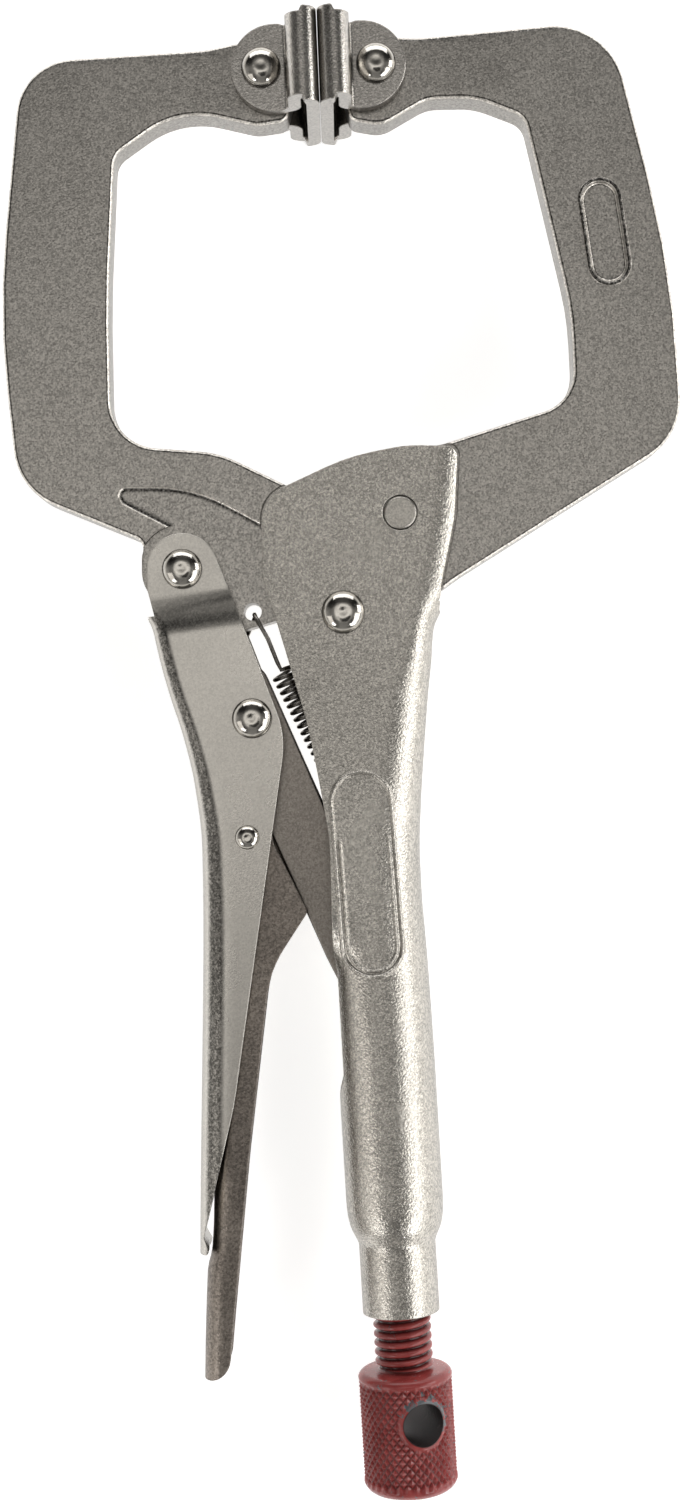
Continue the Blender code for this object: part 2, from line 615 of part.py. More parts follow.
def main():
    for obj in list(bpy.data.objects):
        bpy.data.objects.remove(obj)
    parts = bpy.data.collections.new("locking_c_clamp")
    cutters = bpy.data.collections.new("locking_c_clamp_cutters")
    bpy.context.scene.collection.children.link(parts)
    bpy.context.scene.collection.children.link(cutters)

    clamp = joint_frame("clamp_frame", JAW_PIVOT, None, parts)
    jaw = joint_frame("jaw_pivot_axis", JAW_PIVOT, clamp, parts)
    handle = joint_frame("handle_pivot_axis", HANDLE_PIVOT, jaw, parts)
    link = joint_frame("link_pivot_axis", LINK_PIVOT, handle, parts)
    lever = joint_frame("lever_pivot_axis", LEVER_PIVOT, handle, parts)
    screw = joint_frame("screw_axis", LINK_FOOT, clamp, parts)
    fixed_pad = joint_frame("fixed_pad_axis", FIXED_PAD_PIVOT, clamp, parts)
    movable_pad = joint_frame("movable_pad_axis", MOVABLE_PAD_PIVOT, jaw, parts)

    make_fixed_handle(clamp, parts, cutters)
    make_fixed_jaw(clamp, parts, cutters)
    make_movable_jaw(jaw, parts, cutters)
    make_movable_handle(handle, parts, cutters)
    make_toggle_link(link, parts, cutters)
    make_release_lever(lever, parts, cutters)
    make_adjusting_screw(screw, parts, cutters)
    make_return_spring(clamp, parts)
    make_pad("fixed_pad", FIXED_PAD_PIVOT, MOVABLE_PAD_PIVOT, fixed_pad, parts, cutters)
    make_pad("movable_pad", MOVABLE_PAD_PIVOT, FIXED_PAD_PIVOT, movable_pad, parts, cutters)
    make_flush_rivet("fixed_jaw_rivet", JAW_RIVET, 3.1, CHEEK_OUTER, clamp, parts)
    make_rivet("jaw_pivot_rivet", JAW_PIVOT, 3.0, 4.1, CHEEK_OUTER, clamp, parts)
    make_rivet("handle_pivot_rivet", HANDLE_PIVOT, 2.5, 3.8, EAR_OUTER, jaw, parts)
    make_rivet("link_pivot_rivet", LINK_PIVOT, 2.5, 3.8, FLANGE_OUTER, handle, parts)
    make_rivet("release_lever_rivet", LEVER_PIVOT, 1.3, 2.3, FLANGE_OUTER, handle, parts)
    make_rivet("fixed_pad_rivet", FIXED_PAD_PIVOT, 2.5, 3.75, PAD_EAR_OUTER, clamp, parts)
    make_rivet("movable_pad_rivet", MOVABLE_PAD_PIVOT, 2.5, 3.75, PAD_EAR_OUTER, jaw, parts)


main()
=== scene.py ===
"""The looks of the locking C clamp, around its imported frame.

Pieces are modelled in millimetres in the clamp frame, whose origin is the jaw pivot: X runs from
the movable to the fixed side, Y from the screw to the pads and Z up through the thickness.
"""

import json
from math import asin, ceil, cos, degrees, exp, pi, radians, sin, tan

import bmesh
import bpy
from mathutils import Matrix, Vector


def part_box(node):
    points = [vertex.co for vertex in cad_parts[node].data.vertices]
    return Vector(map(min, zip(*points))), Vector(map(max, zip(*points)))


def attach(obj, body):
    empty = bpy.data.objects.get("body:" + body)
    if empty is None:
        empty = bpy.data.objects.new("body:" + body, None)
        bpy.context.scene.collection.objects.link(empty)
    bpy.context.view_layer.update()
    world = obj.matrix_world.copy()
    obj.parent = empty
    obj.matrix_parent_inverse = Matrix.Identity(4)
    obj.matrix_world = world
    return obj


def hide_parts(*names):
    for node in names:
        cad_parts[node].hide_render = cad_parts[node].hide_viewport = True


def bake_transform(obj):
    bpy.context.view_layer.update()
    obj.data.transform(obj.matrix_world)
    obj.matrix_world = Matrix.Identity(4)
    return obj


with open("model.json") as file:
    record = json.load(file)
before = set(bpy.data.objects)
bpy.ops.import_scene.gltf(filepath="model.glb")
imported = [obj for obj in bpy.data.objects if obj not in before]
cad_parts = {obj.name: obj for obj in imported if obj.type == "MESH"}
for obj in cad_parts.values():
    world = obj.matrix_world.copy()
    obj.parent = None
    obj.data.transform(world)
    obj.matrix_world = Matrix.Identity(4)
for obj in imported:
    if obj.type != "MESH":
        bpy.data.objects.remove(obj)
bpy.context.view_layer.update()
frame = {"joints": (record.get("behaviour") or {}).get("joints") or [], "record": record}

MM = 0.001
RECORD = frame["record"]
BODY_OF = {node: body for body, nodes in RECORD["behaviour"]["bodies"].items() for node in nodes}
JOINT_PLACE = {joint["name"]: Vector(joint["pos_m"]) for joint in frame["joints"]}
ORIGIN = JOINT_PLACE["jaw_pivot"]


def joint_at(name):
    """A joint's place in the clamp frame, in millimetres."""
    place = (JOINT_PLACE[name] - ORIGIN) / MM
    return (place.x, place.y)


def node_at(node):
    """The middle of a CAD node in the clamp frame, in millimetres."""
    low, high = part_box(node)
    place = ((low + high) / 2 - ORIGIN) / MM
    return (place.x, place.y)


# Pivots in the clamp frame.
JAW_PIVOT = (0.0, 0.0)
HANDLE_PIVOT = joint_at("handle_pivot")
LINK_PIVOT = joint_at("link_pivot")
LEVER_PIVOT = joint_at("release_lever_pivot")
LINK_FOOT = joint_at("screw_turn")
FIXED_PAD_PIVOT = joint_at("fixed_pad_swivel")
MOVABLE_PAD_PIVOT = joint_at("movable_pad_swivel")
JAW_RIVET = node_at("fixed_jaw_rivet")
SPRING_HOLE = (-17.3, 0.2)
SCREW_TILT = radians(3.41)

# Half thicknesses and sheet gauges, as in the CAD.
ARM_HALF = 4.1
TONGUE_HALF = 3.5
LINK_HALF = 2.8
CHEEK_OUTER = 5.5
SHEET = 1.6
EAR_OUTER = 5.4
FLANGE_OUTER = 6.8
LEVER_OUTER = 4.9
LEVER_SHEET = 1.5
PAD_SHEET = 2.5
PAD_HALF_WIDTH = 15.0
PAD_EAR_OUTER = 6.9
GAP = 0.3
JAW_EDGE = 0.8
LINK_EDGE = 0.4
LINK_HALF_WIDTH = 5.75
LINK_FOOT_RADIUS = 5.4
WELL_OUTSIDE = 16.0

JAW_PIVOT_HOLE = 3.3
PIVOT_HOLE = 2.8
LEVER_HOLE = 1.6
SPRING_HOLE_RADIUS = 1.7
JAW_RIVET_HOLE = 3.1
CHEEK_RIVET_HOLE = 3.4

# Screw, measured along its axis from the centre of the link's foot.
TUBE_RADIUS = 9.4
NECK_RADIUS = 7.45
NECK_END = -57.9
TIP_END = -9.4
THREAD_RADIUS = 5.6
THREAD_ROOT = 4.75
THREAD_PITCH = 1.75
KNOB_RADIUS = 9.15
KNOB_START = -69.2
KNOB_END = -92.3
CROSS_HOLE_RADIUS = 4.0
CROSS_HOLE_PLACE = -77.8
CROSS_HOLE_ANGLE = radians(20)

# Return spring.
WIRE_RADIUS = 0.42
COIL_RADIUS = 2.0
COIL_PITCH = 1.45
COIL_STEPS = 20                         # points of the wire in one turn
COIL_START = (-11.9, -10.9)
COIL_END = (0.3, -34.8)
SPRING_STUD = (2.1, -42.8)
STUD_RADIUS = 1.0

ARC_STEP = 5.0                          # degrees of a fillet covered by one edge


# ---------------------------------------------------------------- outlines and meshes

def rounded(corners):
    """The points of an outline that is given by its corners (x, y, fillet radius)."""
    points = []
    for index, (x, y, radius) in enumerate(corners):
        corner = Vector((x, y))
        before = (Vector(corners[index - 1][:2]) - corner).normalized()
        after = (Vector(corners[(index + 1) % len(corners)][:2]) - corner).normalized()
        if radius == 0:
            points.append(corner)
            continue
        half = before.angle(after) / 2
        centre = corner + (before + after).normalized() * radius / sin(half)
        start = corner + before * radius / tan(half) - centre
        turn = pi - 2 * half
        side = 1 if before.cross(after) < 0 else -1
        count = max(1, ceil(degrees(turn) / ARC_STEP))
        for step in range(count + 1):
            points.append(centre + Matrix.Rotation(side * turn * step / count, 2) @ start)
    return points


def circle(centre, radius, count=48):
    """The points of a circle."""
    angles = [2 * pi * step / count for step in range(count)]
    return [Vector((centre[0] + radius * cos(a), centre[1] + radius * sin(a))) for a in angles]


def stadium(start, end, radius):
    """The points of a slot's outline round the line from start to end."""
    start, end = Vector(start), Vector(end)
    side = (end - start).normalized().orthogonal() * radius
    points = []
    for centre, first in ((start, -side), (end, side)):
        points += [centre + Matrix.Rotation(-radians(9 * step), 2) @ first for step in range(21)]
    return points


def new_object(name, mesh):
    obj = bpy.data.objects.new(name, mesh)
    bpy.context.scene.collection.objects.link(obj)
    return obj


def settled_mesh(obj):
    """The mesh of an object with its modifiers, welded, with its normals outwards."""
    bpy.context.view_layer.update()
    evaluated = obj.evaluated_get(bpy.context.evaluated_depsgraph_get())
    mesh = bpy.data.meshes.new_from_object(evaluated)
    shape = bmesh.new()
    shape.from_mesh(mesh)
    bmesh.ops.remove_doubles(shape, verts=shape.verts, dist=0.0005 * MM)
    bmesh.ops.recalc_face_normals(shape, faces=shape.faces)
    shape.to_mesh(mesh)
    shape.free()
    return mesh


def settle(obj):
    """Applies an object's modifiers to its mesh."""
    mesh = settled_mesh(obj)
    obj.modifiers.clear()
    obj.data = mesh
    return obj


def plate(name, outline, low, high, edge=0.0, edge_steps=2):
    """A flat outline between two heights. Its rounded edge stands outside the outline."""
    curve = bpy.data.curves.new(name, "CURVE")
    curve.dimensions = "2D"
    curve.fill_mode = "BOTH"
    curve.extrude = ((high - low) / 2 - edge) * MM
    curve.bevel_depth = edge * MM
    curve.bevel_resolution = edge_steps
    spline = curve.splines.new("POLY")
    spline.points.add(len(outline) - 1)
    for target, point in zip(spline.points, outline):
        target.co = (point[0] * MM, point[1] * MM, 0, 1)
    spline.use_cyclic_u = True
    drawn = new_object(name + "_outline", curve)
    mesh = settled_mesh(drawn)
    mesh.transform(Matrix.Translation((0, 0, (low + high) / 2 * MM)))
    bpy.data.objects.remove(drawn)
    return new_object(name, mesh)


def sheet(name, rows, thickness, offset=-1):
    """A surface through rows of points, thickened against its normals."""
    shape = bmesh.new()
    grid = [[shape.verts.new(Vector(point) * MM) for point in row] for row in rows]
    for upper, lower in zip(grid, grid[1:]):
        for column in range(len(upper) - 1):
            corners = (upper[column], upper[column + 1], lower[column + 1], lower[column])
            shape.faces.new(corners)
    mesh = bpy.data.meshes.new(name)
    shape.to_mesh(mesh)
    shape.free()
    obj = new_object(name, mesh)
    solidify = obj.modifiers.new("gauge", "SOLIDIFY")
    solidify.thickness = thickness * MM
    solidify.offset = offset
    solidify.use_even_offset = True
    return settle(obj)


def turned(name, profile, steps=64, relief=None):
    """A solid turned about Y from (radius, height) points, top to bottom.

    relief(angle, radius, height) may change the radius all round, as for a thread or a knurl."""
    shape = bmesh.new()
    rings = []
    for radius, height in profile:
        if radius == 0:
            rings.append([shape.verts.new((0, height * MM, 0))])
            continue
        ring = []
        for step in range(steps):
            angle = 2 * pi * step / steps
            reach = relief(angle, radius, height) if relief else radius
            place = Vector((reach * cos(angle), height, reach * sin(angle)))
            ring.append(shape.verts.new(place * MM))
        rings.append(ring)
    for upper, lower in zip(rings, rings[1:]):
        for step in range(steps):
            following = (step + 1) % steps
            corners = [upper[step % len(upper)], upper[following % len(upper)],
                       lower[following % len(lower)], lower[step % len(lower)]]
            shape.faces.new(list(dict.fromkeys(corners)))
    bmesh.ops.recalc_face_normals(shape, faces=shape.faces)
    mesh = bpy.data.meshes.new(name)
    shape.to_mesh(mesh)
    shape.free()
    return new_object(name, mesh)


def upright(obj):
    """Turns a piece that was turned about Y so that it stands along Z."""
    obj.data.transform(Matrix.Rotation(pi / 2, 4, "X"))
    return obj


def boolean(obj, cutter, operation="DIFFERENCE"):
    """Cuts, keeps or joins with a helper solid and removes the helper."""
    modifier = obj.modifiers.new(operation.lower(), "BOOLEAN")
    modifier.operation = operation
    modifier.solver = "MANIFOLD"
    modifier.object = cutter
    settle(obj)
    bpy.data.objects.remove(cutter)


def drill(obj, centre, radius):
    """A round hole along Z."""
    boolean(obj, plate("hole", circle(centre, radius), -WELL_OUTSIDE, WELL_OUTSIDE))


def shade(obj, angle=35):
    """Smooth shading that keeps flat faces flat."""
    obj.data.shade_smooth()
    obj.data.set_sharp_from_angle(angle=radians(angle))
    weighted = obj.modifiers.new("weighted_normals", "WEIGHTED_NORMAL")
    weighted.keep_sharp = True
    weighted.weight = 100


def stand_in(obj, node, finish, angle=35):
    """Puts a finished piece in place of its CAD node, on that node's body."""
    shade(obj, angle)
    obj.data.materials.clear()
    obj.data.materials.append(finish)
    obj.location = ORIGIN + obj.location
    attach(obj, BODY_OF[node])
    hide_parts(node)


def screw_frame_matrix():
    """From the screw's own frame, with Y up its axis and its origin at the link's foot."""
    place = Matrix.Translation((LINK_FOOT[0] * MM, LINK_FOOT[1] * MM, 0))
    return place @ Matrix.Rotation(SCREW_TILT, 4, "Z")


def eased(stations, spacing):
    """Rows between the stations of a loft, on a monotone curve.

    Neighbouring rows are no further apart than spacing(height)."""
    slopes = []
    for index in range(len(stations)):
        before = stations[max(index - 1, 0)]
        here = stations[index]
        after = stations[min(index + 1, len(stations) - 1)]
        slope = []
        for value in range(1, len(here)):
            rise = [(b[value] - a[value]) / (b[0] - a[0])
                    for a, b in ((before, here), (here, after)) if a[0] != b[0]]
            if len(rise) < 2 or rise[0] * rise[1] <= 0:
                slope.append(0.0)
            else:
                slope.append(2 * rise[0] * rise[1] / (rise[0] + rise[1]))
        slopes.append(slope)
    rows = []
    for a, b, slope_a, slope_b in zip(stations, stations[1:], slopes, slopes[1:]):
        length = b[0] - a[0]
        count = max(1, ceil(abs(length) / spacing((a[0] + b[0]) / 2)))
        for step in range(count):
            t = step / count
            row = [a[0] + t * length]
            for start, end, leave, arrive in zip(a[1:], b[1:], slope_a, slope_b):
                row.append((1 + 2 * t) * (1 - t) ** 2 * start + t * (1 - t) ** 2 * length * leave
                           + t * t * (3 - 2 * t) * end + t * t * (t - 1) * length * arrive)
            rows.append(tuple(row))
    rows.append(stations[-1])
    return rows


# ---------------------------------------------------------------- finishes

class Nodes:
    """A short way to build a node tree."""

    def __init__(self, tree):
        self.tree = tree

    def add(self, kind, **settings):
        node = self.tree.nodes.new(kind)
        for key, value in settings.items():
            setattr(node, key, value)
        return node

    def feed(self, socket, value):
        """Links a node's output to a socket, or sets the socket to a constant."""
        if isinstance(value, bpy.types.NodeSocket):
            self.tree.links.new(value, socket)
        else:
            socket.default_value = value

    def remap(self, value, low, high, new_low=0.0, new_high=1.0, curve="LINEAR"):
        node = self.add("ShaderNodeMapRange", interpolation_type=curve)
        for key, number in zip(("Value", "From Min", "From Max", "To Min", "To Max"),
                               (value, low, high, new_low, new_high)):
            self.feed(node.inputs[key], number)
        return node.outputs["Result"]

    def maths(self, operation, a, b=0.0):
        node = self.add("ShaderNodeMath", operation=operation)
        self.feed(node.inputs[0], a)
        self.feed(node.inputs[1], b)
        return node.outputs["Value"]

    def vector(self, operation, a, b=(0, 0, 0), output="Vector"):
        node = self.add("ShaderNodeVectorMath", operation=operation)
        self.feed(node.inputs[0], a)
        self.feed(node.inputs[1], b)
        return node.outputs[output]

    def mix(self, factor, a, b, blend="MIX"):
        node = self.add("ShaderNodeMix", data_type="RGBA", blend_type=blend)
        self.feed(node.inputs["Factor"], factor)
        for socket, colour in ((node.inputs[6], a), (node.inputs[7], b)):
            self.feed(socket, colour if isinstance(colour, bpy.types.NodeSocket) else (*colour, 1))
        return node.outputs[2]


class Finish(Nodes):
    """The nodes of a new material, with sizes in millimetres."""

    def __init__(self, name):
        self.material = bpy.data.materials.new(name)
        self.material.use_nodes = True
        super().__init__(self.material.node_tree)
        self.coordinates = self.add("ShaderNodeTexCoord").outputs["Object"]

    def noise(self, size, detail=2.0, roughness=0.5):
        """Noise whose features are about size across."""
        node = self.add("ShaderNodeTexNoise")
        self.feed(node.inputs["Vector"], self.coordinates)
        self.feed(node.inputs["Scale"], 1 / (size * MM))
        self.feed(node.inputs["Detail"], detail)
        self.feed(node.inputs["Roughness"], roughness)
        return node.outputs["Fac"]

    def cells(self, size, output="Distance"):
        """Voronoi cells about size across."""
        node = self.add("ShaderNodeTexVoronoi")
        self.feed(node.inputs["Vector"], self.coordinates)
        self.feed(node.inputs["Scale"], 1 / (size * MM))
        return node.outputs[output]

    def lean(self):
        """How far a face points up or down: 1 when it lies flat, 0 when it is upright."""
        normal = self.add("ShaderNodeNewGeometry").outputs["Normal"]
        return self.maths("ABSOLUTE", self.vector("DOT_PRODUCT", normal, (0, 0, 1), output="Value"))

    def bump(self, height, depth, after=None):
        """A bump of that depth."""
        node = self.add("ShaderNodeBump")
        self.feed(node.inputs["Height"], height)
        self.feed(node.inputs["Strength"], 1.0)
        self.feed(node.inputs["Distance"], depth * MM)
        if after is not None:
            self.feed(node.inputs["Normal"], after)
        return node.outputs["Normal"]

    def softened(self, radius):
        """The normal with its sharp edges rounded."""
        node = self.add("ShaderNodeBevel", samples=4)
        self.feed(node.inputs["Radius"], radius * MM)
        return node.outputs["Normal"]

    def made_of(self, **inputs):
        """Feeds the surface's inputs, with _ for a space, and hands over the material."""
        for name, value in inputs.items():
            self.feed(self.tree.nodes["Principled BSDF"].inputs[name.replace("_", " ")], value)
        return self.material


UPRIGHT_SHADE_SHARE = 0.60                    # share of its colour that an upright face keeps under its painted shade
PIT_SPACING = 0.9
PIT_COLOUR = (0.05, 0.045, 0.04)
CLOUD_SIZE = 14.0


def plated(name, colour, roughness, grain, grain_depth, sparkle=0.2, blotch=0.10, pits=0.5,
           edge=0.40, slope_shade=0.0, slope_shade_end=(0.60, 0.75), rim=1.0):
    """Nickel plating over blasted steel: sparkling grain, a few pits, faint blotches, soft edges.

    The slope shade setting paints grainy shade on what leans up to its end slope, and rim paints a
    highlight on the rounded edges beyond it. Upright faces get painted shade that leaves them
    darker than flat ones."""
    n = Finish(name)
    fine = n.noise(grain, detail=2.0, roughness=0.6)
    facets = n.cells(grain * 1.3)
    flecks = n.cells(grain, output="Color")
    cloud = n.noise(CLOUD_SIZE, detail=3.0)
    pit = n.remap(n.cells(PIT_SPACING), 0.0, 0.16, 1.0, 0.0)
    rare = n.remap(n.noise(6.0, detail=1.0), 0.64, 0.67)
    pitted = n.maths("MULTIPLY", pit, n.maths("MULTIPLY", rare, pits))
    tone = n.mix(n.remap(cloud, 0.32, 0.68), [c * (1 - blotch) for c in colour], colour)
    grit = n.maths("ADD", n.maths("MULTIPLY", fine, 0.6), n.maths("MULTIPLY", flecks, 0.4))
    speckle = n.remap(grit, 0.34, 0.66, 1 - sparkle, 1 + sparkle)
    tone = n.mix(1.0, tone, speckle, "MULTIPLY")
    tone = n.mix(pitted, tone, PIT_COLOUR)
    lean = n.lean()
    # painted shade: upright faces are darkened against the floor's reflection in them
    tone = n.mix(1.0, tone, n.remap(lean, 0.15, 0.85, UPRIGHT_SHADE_SHARE, 1.0), "MULTIPLY")
    # painted highlight: the rounded edges beyond the flat faces are brightened
    if rim != 1.0:
        rim_highlight_band = n.maths("MULTIPLY", n.remap(lean, 0.90, 0.78), n.remap(lean, 0.08, 0.35))
        tone = n.mix(1.0, tone, n.remap(rim_highlight_band, 0.0, 1.0, 1.0, rim), "MULTIPLY")
    # painted grainy shade on sloped faces: bends, joggles, recess walls and edge roundings
    if slope_shade:
        slope_shade_mask = n.maths("MULTIPLY", n.remap(lean, 0.995, 0.965), n.remap(lean, *slope_shade_end))
        grainy_shade_tone = n.mix(1.0, tone, n.remap(grit, 0.40, 0.70, 0.10, 0.55), "MULTIPLY")
        tone = n.mix(n.maths("MULTIPLY", slope_shade_mask, slope_shade), tone, grainy_shade_tone)
    height = n.maths("ADD", n.maths("MULTIPLY", fine, 0.7), n.maths("MULTIPLY", facets, 0.3))
    height = n.maths("SUBTRACT", height, pitted)
    return n.made_of(
        Base_Color=tone, Metallic=1.0,
        Roughness=n.remap(cloud, 0.3, 0.7, roughness - 0.03, roughness + 0.04),
        Normal=n.bump(height, grain_depth, n.softened(edge)))


def polished(name, colour, roughness):
    """A polished rivet head with fine turning marks and small dents, with painted shade round its
    steep foot.
    """
    n = Finish(name)
    dents = n.noise(1.4)
    scratches = n.noise(0.25)
    tone = n.mix(n.remap(dents, 0.35, 0.7), [c * 0.8 for c in colour], colour)
    # painted shade: the dome is darkened where it steepens towards its foot
    foot = n.remap(n.lean(), 0.30, 0.76, 0.16, 1.0)
    height = n.maths("ADD", n.maths("MULTIPLY", dents, 0.8), n.maths("MULTIPLY", scratches, 0.06))
    return n.made_of(
        Base_Color=n.mix(1.0, tone, foot, "MULTIPLY"), Metallic=1.0,
        Roughness=n.remap(scratches, 0.3, 0.7, roughness - 0.04, roughness + 0.08),
        Normal=n.bump(height, 0.05, n.softened(0.15)))


RED = ((0.260, 0.040, 0.038), (0.350, 0.062, 0.058))
# Painted shade in the knurl's grooves.
KNURL_GROOVE_SHADE = (0.045, 0.006, 0.006)
# Painted shade in the thread's roots.
THREAD_ROOT_SHADE = (0.060, 0.008, 0.008)
BARE_METAL = (0.12, 0.13, 0.14)
# Painted shade inside the cross hole.
CROSS_HOLE_SHADE = (0.022, 0.013, 0.013)
WORN_SIDE = (0.45, 0.89, 0.0)           # where the lacquer is worn, seen from the cross hole
WORN_FROM, WORN_TO = 4.6, 6.3           # reach of the wear from the cross hole's axis


def red_lacquer(name):
    """Dark red lacquer worn grey by the cross hole and in specks; painted shade in hole, knurl and
    thread.
    """
    n = Finish(name)
    matrix = screw_frame_matrix()
    centre = matrix @ Vector((0, CROSS_HOLE_PLACE * MM, 0))
    foot = matrix @ Vector((0, 0, 0))
    upwards = matrix.to_3x3() @ Vector((0, 1, 0))

    def off_axis(offset, axis):
        return n.vector("LENGTH", n.vector("CROSS_PRODUCT", offset, axis), output="Value")

    def between(value, start, end, first=0.0, last=1.0):
        """A change from first to last between two measures in millimetres."""
        return n.remap(value, start * MM, end * MM, first, last)

    offset = n.vector("SUBTRACT", n.coordinates, centre)
    reach = off_axis(offset, matrix.to_3x3() @ CROSS_HOLE_AXIS)
    beside = n.vector("DOT_PRODUCT", offset, WORN_SIDE, output="Value")
    near = n.maths("MULTIPLY", between(reach, WORN_TO, WORN_FROM), between(beside, 0.0, 3.0))
    # painted shade: inside the cross hole the colour is darkened, rougher and less specular
    inside = between(reach, CROSS_HOLE_RADIUS + 0.05, CROSS_HOLE_RADIUS + 0.25, 1.0, 0.0)
    fine = n.noise(0.5)
    chips = n.noise(1.3, detail=3.0, roughness=0.6)
    worn = n.remap(n.maths("ADD", chips, n.maths("MULTIPLY", near, 0.24)), 0.665, 0.70)

    from_foot = n.vector("SUBTRACT", n.coordinates, foot)
    around = off_axis(from_foot, upwards)
    along = n.vector("DOT_PRODUCT", from_foot, upwards, output="Value")
    knurled = n.maths("MULTIPLY", between(along, KNOB_START - 1.4, KNOB_START - 1.8),
                      between(along, KNOB_END + 1.0, KNOB_END + 1.4))
    groove = between(around, KNOB_RADIUS - 0.80, KNOB_RADIUS - 0.45, 1.0, 0.0)
    # painted shade: the thread's roots are darkened
    thread_root_shade = n.maths("MULTIPLY", between(around, THREAD_ROOT + 0.1, THREAD_RADIUS - 0.25, 1.0, 0.0),
                   between(along, KNOB_START, KNOB_START + 0.8))

    red = n.mix(n.remap(n.noise(3.0, detail=3.0), 0.35, 0.65), *RED)
    # painted shade in the knurl's grooves
    red = n.mix(n.maths("MULTIPLY", groove, knurled), red, KNURL_GROOVE_SHADE)
    red = n.mix(thread_root_shade, red, THREAD_ROOT_SHADE)
    red = n.mix(worn, red, BARE_METAL)
    gloss = n.remap(fine, 0.3, 0.7, 0.16, 0.28)
    height = n.maths("SUBTRACT", n.maths("MULTIPLY", fine, 0.4), n.maths("MULTIPLY", worn, 0.6))
    return n.made_of(
        Base_Color=n.mix(inside, red, CROSS_HOLE_SHADE), Metallic=0.0,
        Roughness=n.maths("MAXIMUM", gloss, n.maths("MULTIPLY", inside, 0.5)),
        Specular_IOR_Level=n.remap(inside, 0.0, 1.0, 0.5, 0.25),
        Normal=n.bump(height, 0.05, n.softened(0.12)))


def drawn_wire(name):
    """Dark drawn spring wire."""
    n = Finish(name)
    fine = n.noise(0.3)
    return n.made_of(
        Base_Color=n.mix(fine, (0.16, 0.15, 0.14), (0.36, 0.34, 0.31)), Metallic=1.0,
        Roughness=n.remap(fine, 0.3, 0.7, 0.22, 0.38), Normal=n.bump(fine, 0.01))


# ---------------------------------------------------------------- forged jaws

MOVABLE_JAW_OUTLINE = [
    (-11.4, 94.8, 1.2), (-9.4, 103.2, 12), (-11.0, 107.8, 2.0), (-20.5, 108.2, 6),
    (-26.5, 106.9, 12), (-61.0, 104.6, 10.5), (-65.3, 57.5, 150), (-61.5, 23.9, 12),
    (-37.0, 14.0, 3), (-37.8, 10.6, 1), (-37.8, 3.2, 6.8), (-20.2, -2.9, 2.6), (-8.1, 0.7, 1.1),
    (-7.9, -7.9, 6.8), (7.9, -7.9, 7.8), (7.9, 7.2, 7.4), (-10.6, 23.4, 8), (-24.0, 29.9, 20),
    (-45.2, 31.4, 10), (-45.8, 60.0, 150), (-44.6, 88.0, 5), (-31.5, 97.4, 18), (-16.5, 94.0, 6),
]

FIXED_JAW_OUTLINE = [
    (-0.1, 103.2, 12), (2.0, 95.0, 1.2), (7.3, 94.1, 5), (16.0, 99.2, 9), (25.5, 99.4, 15),
    (35.4, 95.6, 5), (44.4, 58.0, 60), (45.3, 39.9, 9), (19.5, 31.6, 1.8), (7.0, 29.2, 2),
    (0.9, 18.9, 1), (11.4, 9.8, 2), (11.4, -2.1, 0.4), (12.6, -2.1, 0.4), (12.9, 3.7, 1.6),
    (16.6, 3.7, 1.5), (22.0, 7.6, 5), (64.1, 34.3, 12), (62.8, 64.0, 190), (50.2, 112.7, 13),
    (14.0, 109.2, 30), (1.8, 110.0, 2.0),
]

CRESCENT_OUTLINE = [
    (-41.7, 22.6, 0.15), (-29.0, 22.6, 28), (-12.0, 13.6, 0), (-12.0, -14.0, 0),
    (-30.7, -14.0, 0), (-31.2, 16.6, 3.0), (-41.3, 21.8, 0.15),
]

UNDER_SHELL_OUTLINE = [
    (-15.8, -14.0, 0), (-15.8, 22.4, 6.8), (1.0, 30.3, 40), (14.0, 33.0, 0), (14.0, -14.0, 0),
]

SHELL_SIDE = [
    (21.9, 31.7, 2.0), (21.3, 18.0, 20), (18.8, 5.5, 6), (18.5, 0.6, 0), (30.0, -8.0, 0),
    (30.0, -145.0, 0), (-6.0, -145.0, 0), (-4.0, -66.5, 0), (-2.0, -63.0, 0), (-2.5, -43.0, 40),
    (-6.6, -21.8, 60), (-15.4, 7.0, 14), (-15.4, 22.0, 6.5), (1.0, 29.7, 40), (12.0, 31.9, 25),
]

JAW_SHOULDER_OUTLINE = [
    (-6.0, 32.4, 0), (22.4, 32.4, 2.2), (21.8, 18.0, 20), (19.2, 5.4, 6), (19.0, -8.0, 0),
    (-6.0, -8.0, 0),
]

CRESCENT_SLOPE = 1.5
EAR_ROOM_RADIUS = 8.7
PLAQUE_AXIS = ((49.1, 79.1), (51.0, 66.8))
PLAQUE_RADIUS = 3.85
PLAQUE_RIM = 0.42


def recess(jaw, outline, slope=0.0):
    """Thins both faces of a jaw to the tongue's thickness inside an outline.

    The wall outside the outline curves up to the face over the width of slope."""
    flatten = (ARM_HALF - TONGUE_HALF) / slope if slope else 1
    for side in (1, -1):
        cutter = plate("recess_side", outline, 0, 2 * slope + 8, slope, 4)
        cutter.data.transform(Matrix.Translation((0, 0, side * TONGUE_HALF * MM))
                              @ Matrix.Diagonal((1, 1, side * flatten, 1)))
        if side < 0:
            cutter.data.flip_normals()
        boolean(jaw, cutter)


def bead(path, radius, closed=True):
    """A bead of round section along a path of points (x, y, z)."""
    curve = bpy.data.curves.new("bead", "CURVE")
    curve.dimensions = "3D"
    curve.bevel_depth = radius * MM
    curve.bevel_resolution = 2
    curve.use_fill_caps = not closed
    spline = curve.splines.new("POLY")
    spline.points.add(len(path) - 1)
    for target, point in zip(spline.points, path):
        target.co = (*(Vector(point) * MM), 1)
    spline.use_cyclic_u = closed
    drawn = new_object("bead_line", curve)
    mesh = settled_mesh(drawn)
    bpy.data.objects.remove(drawn)
    return new_object("bead", mesh)


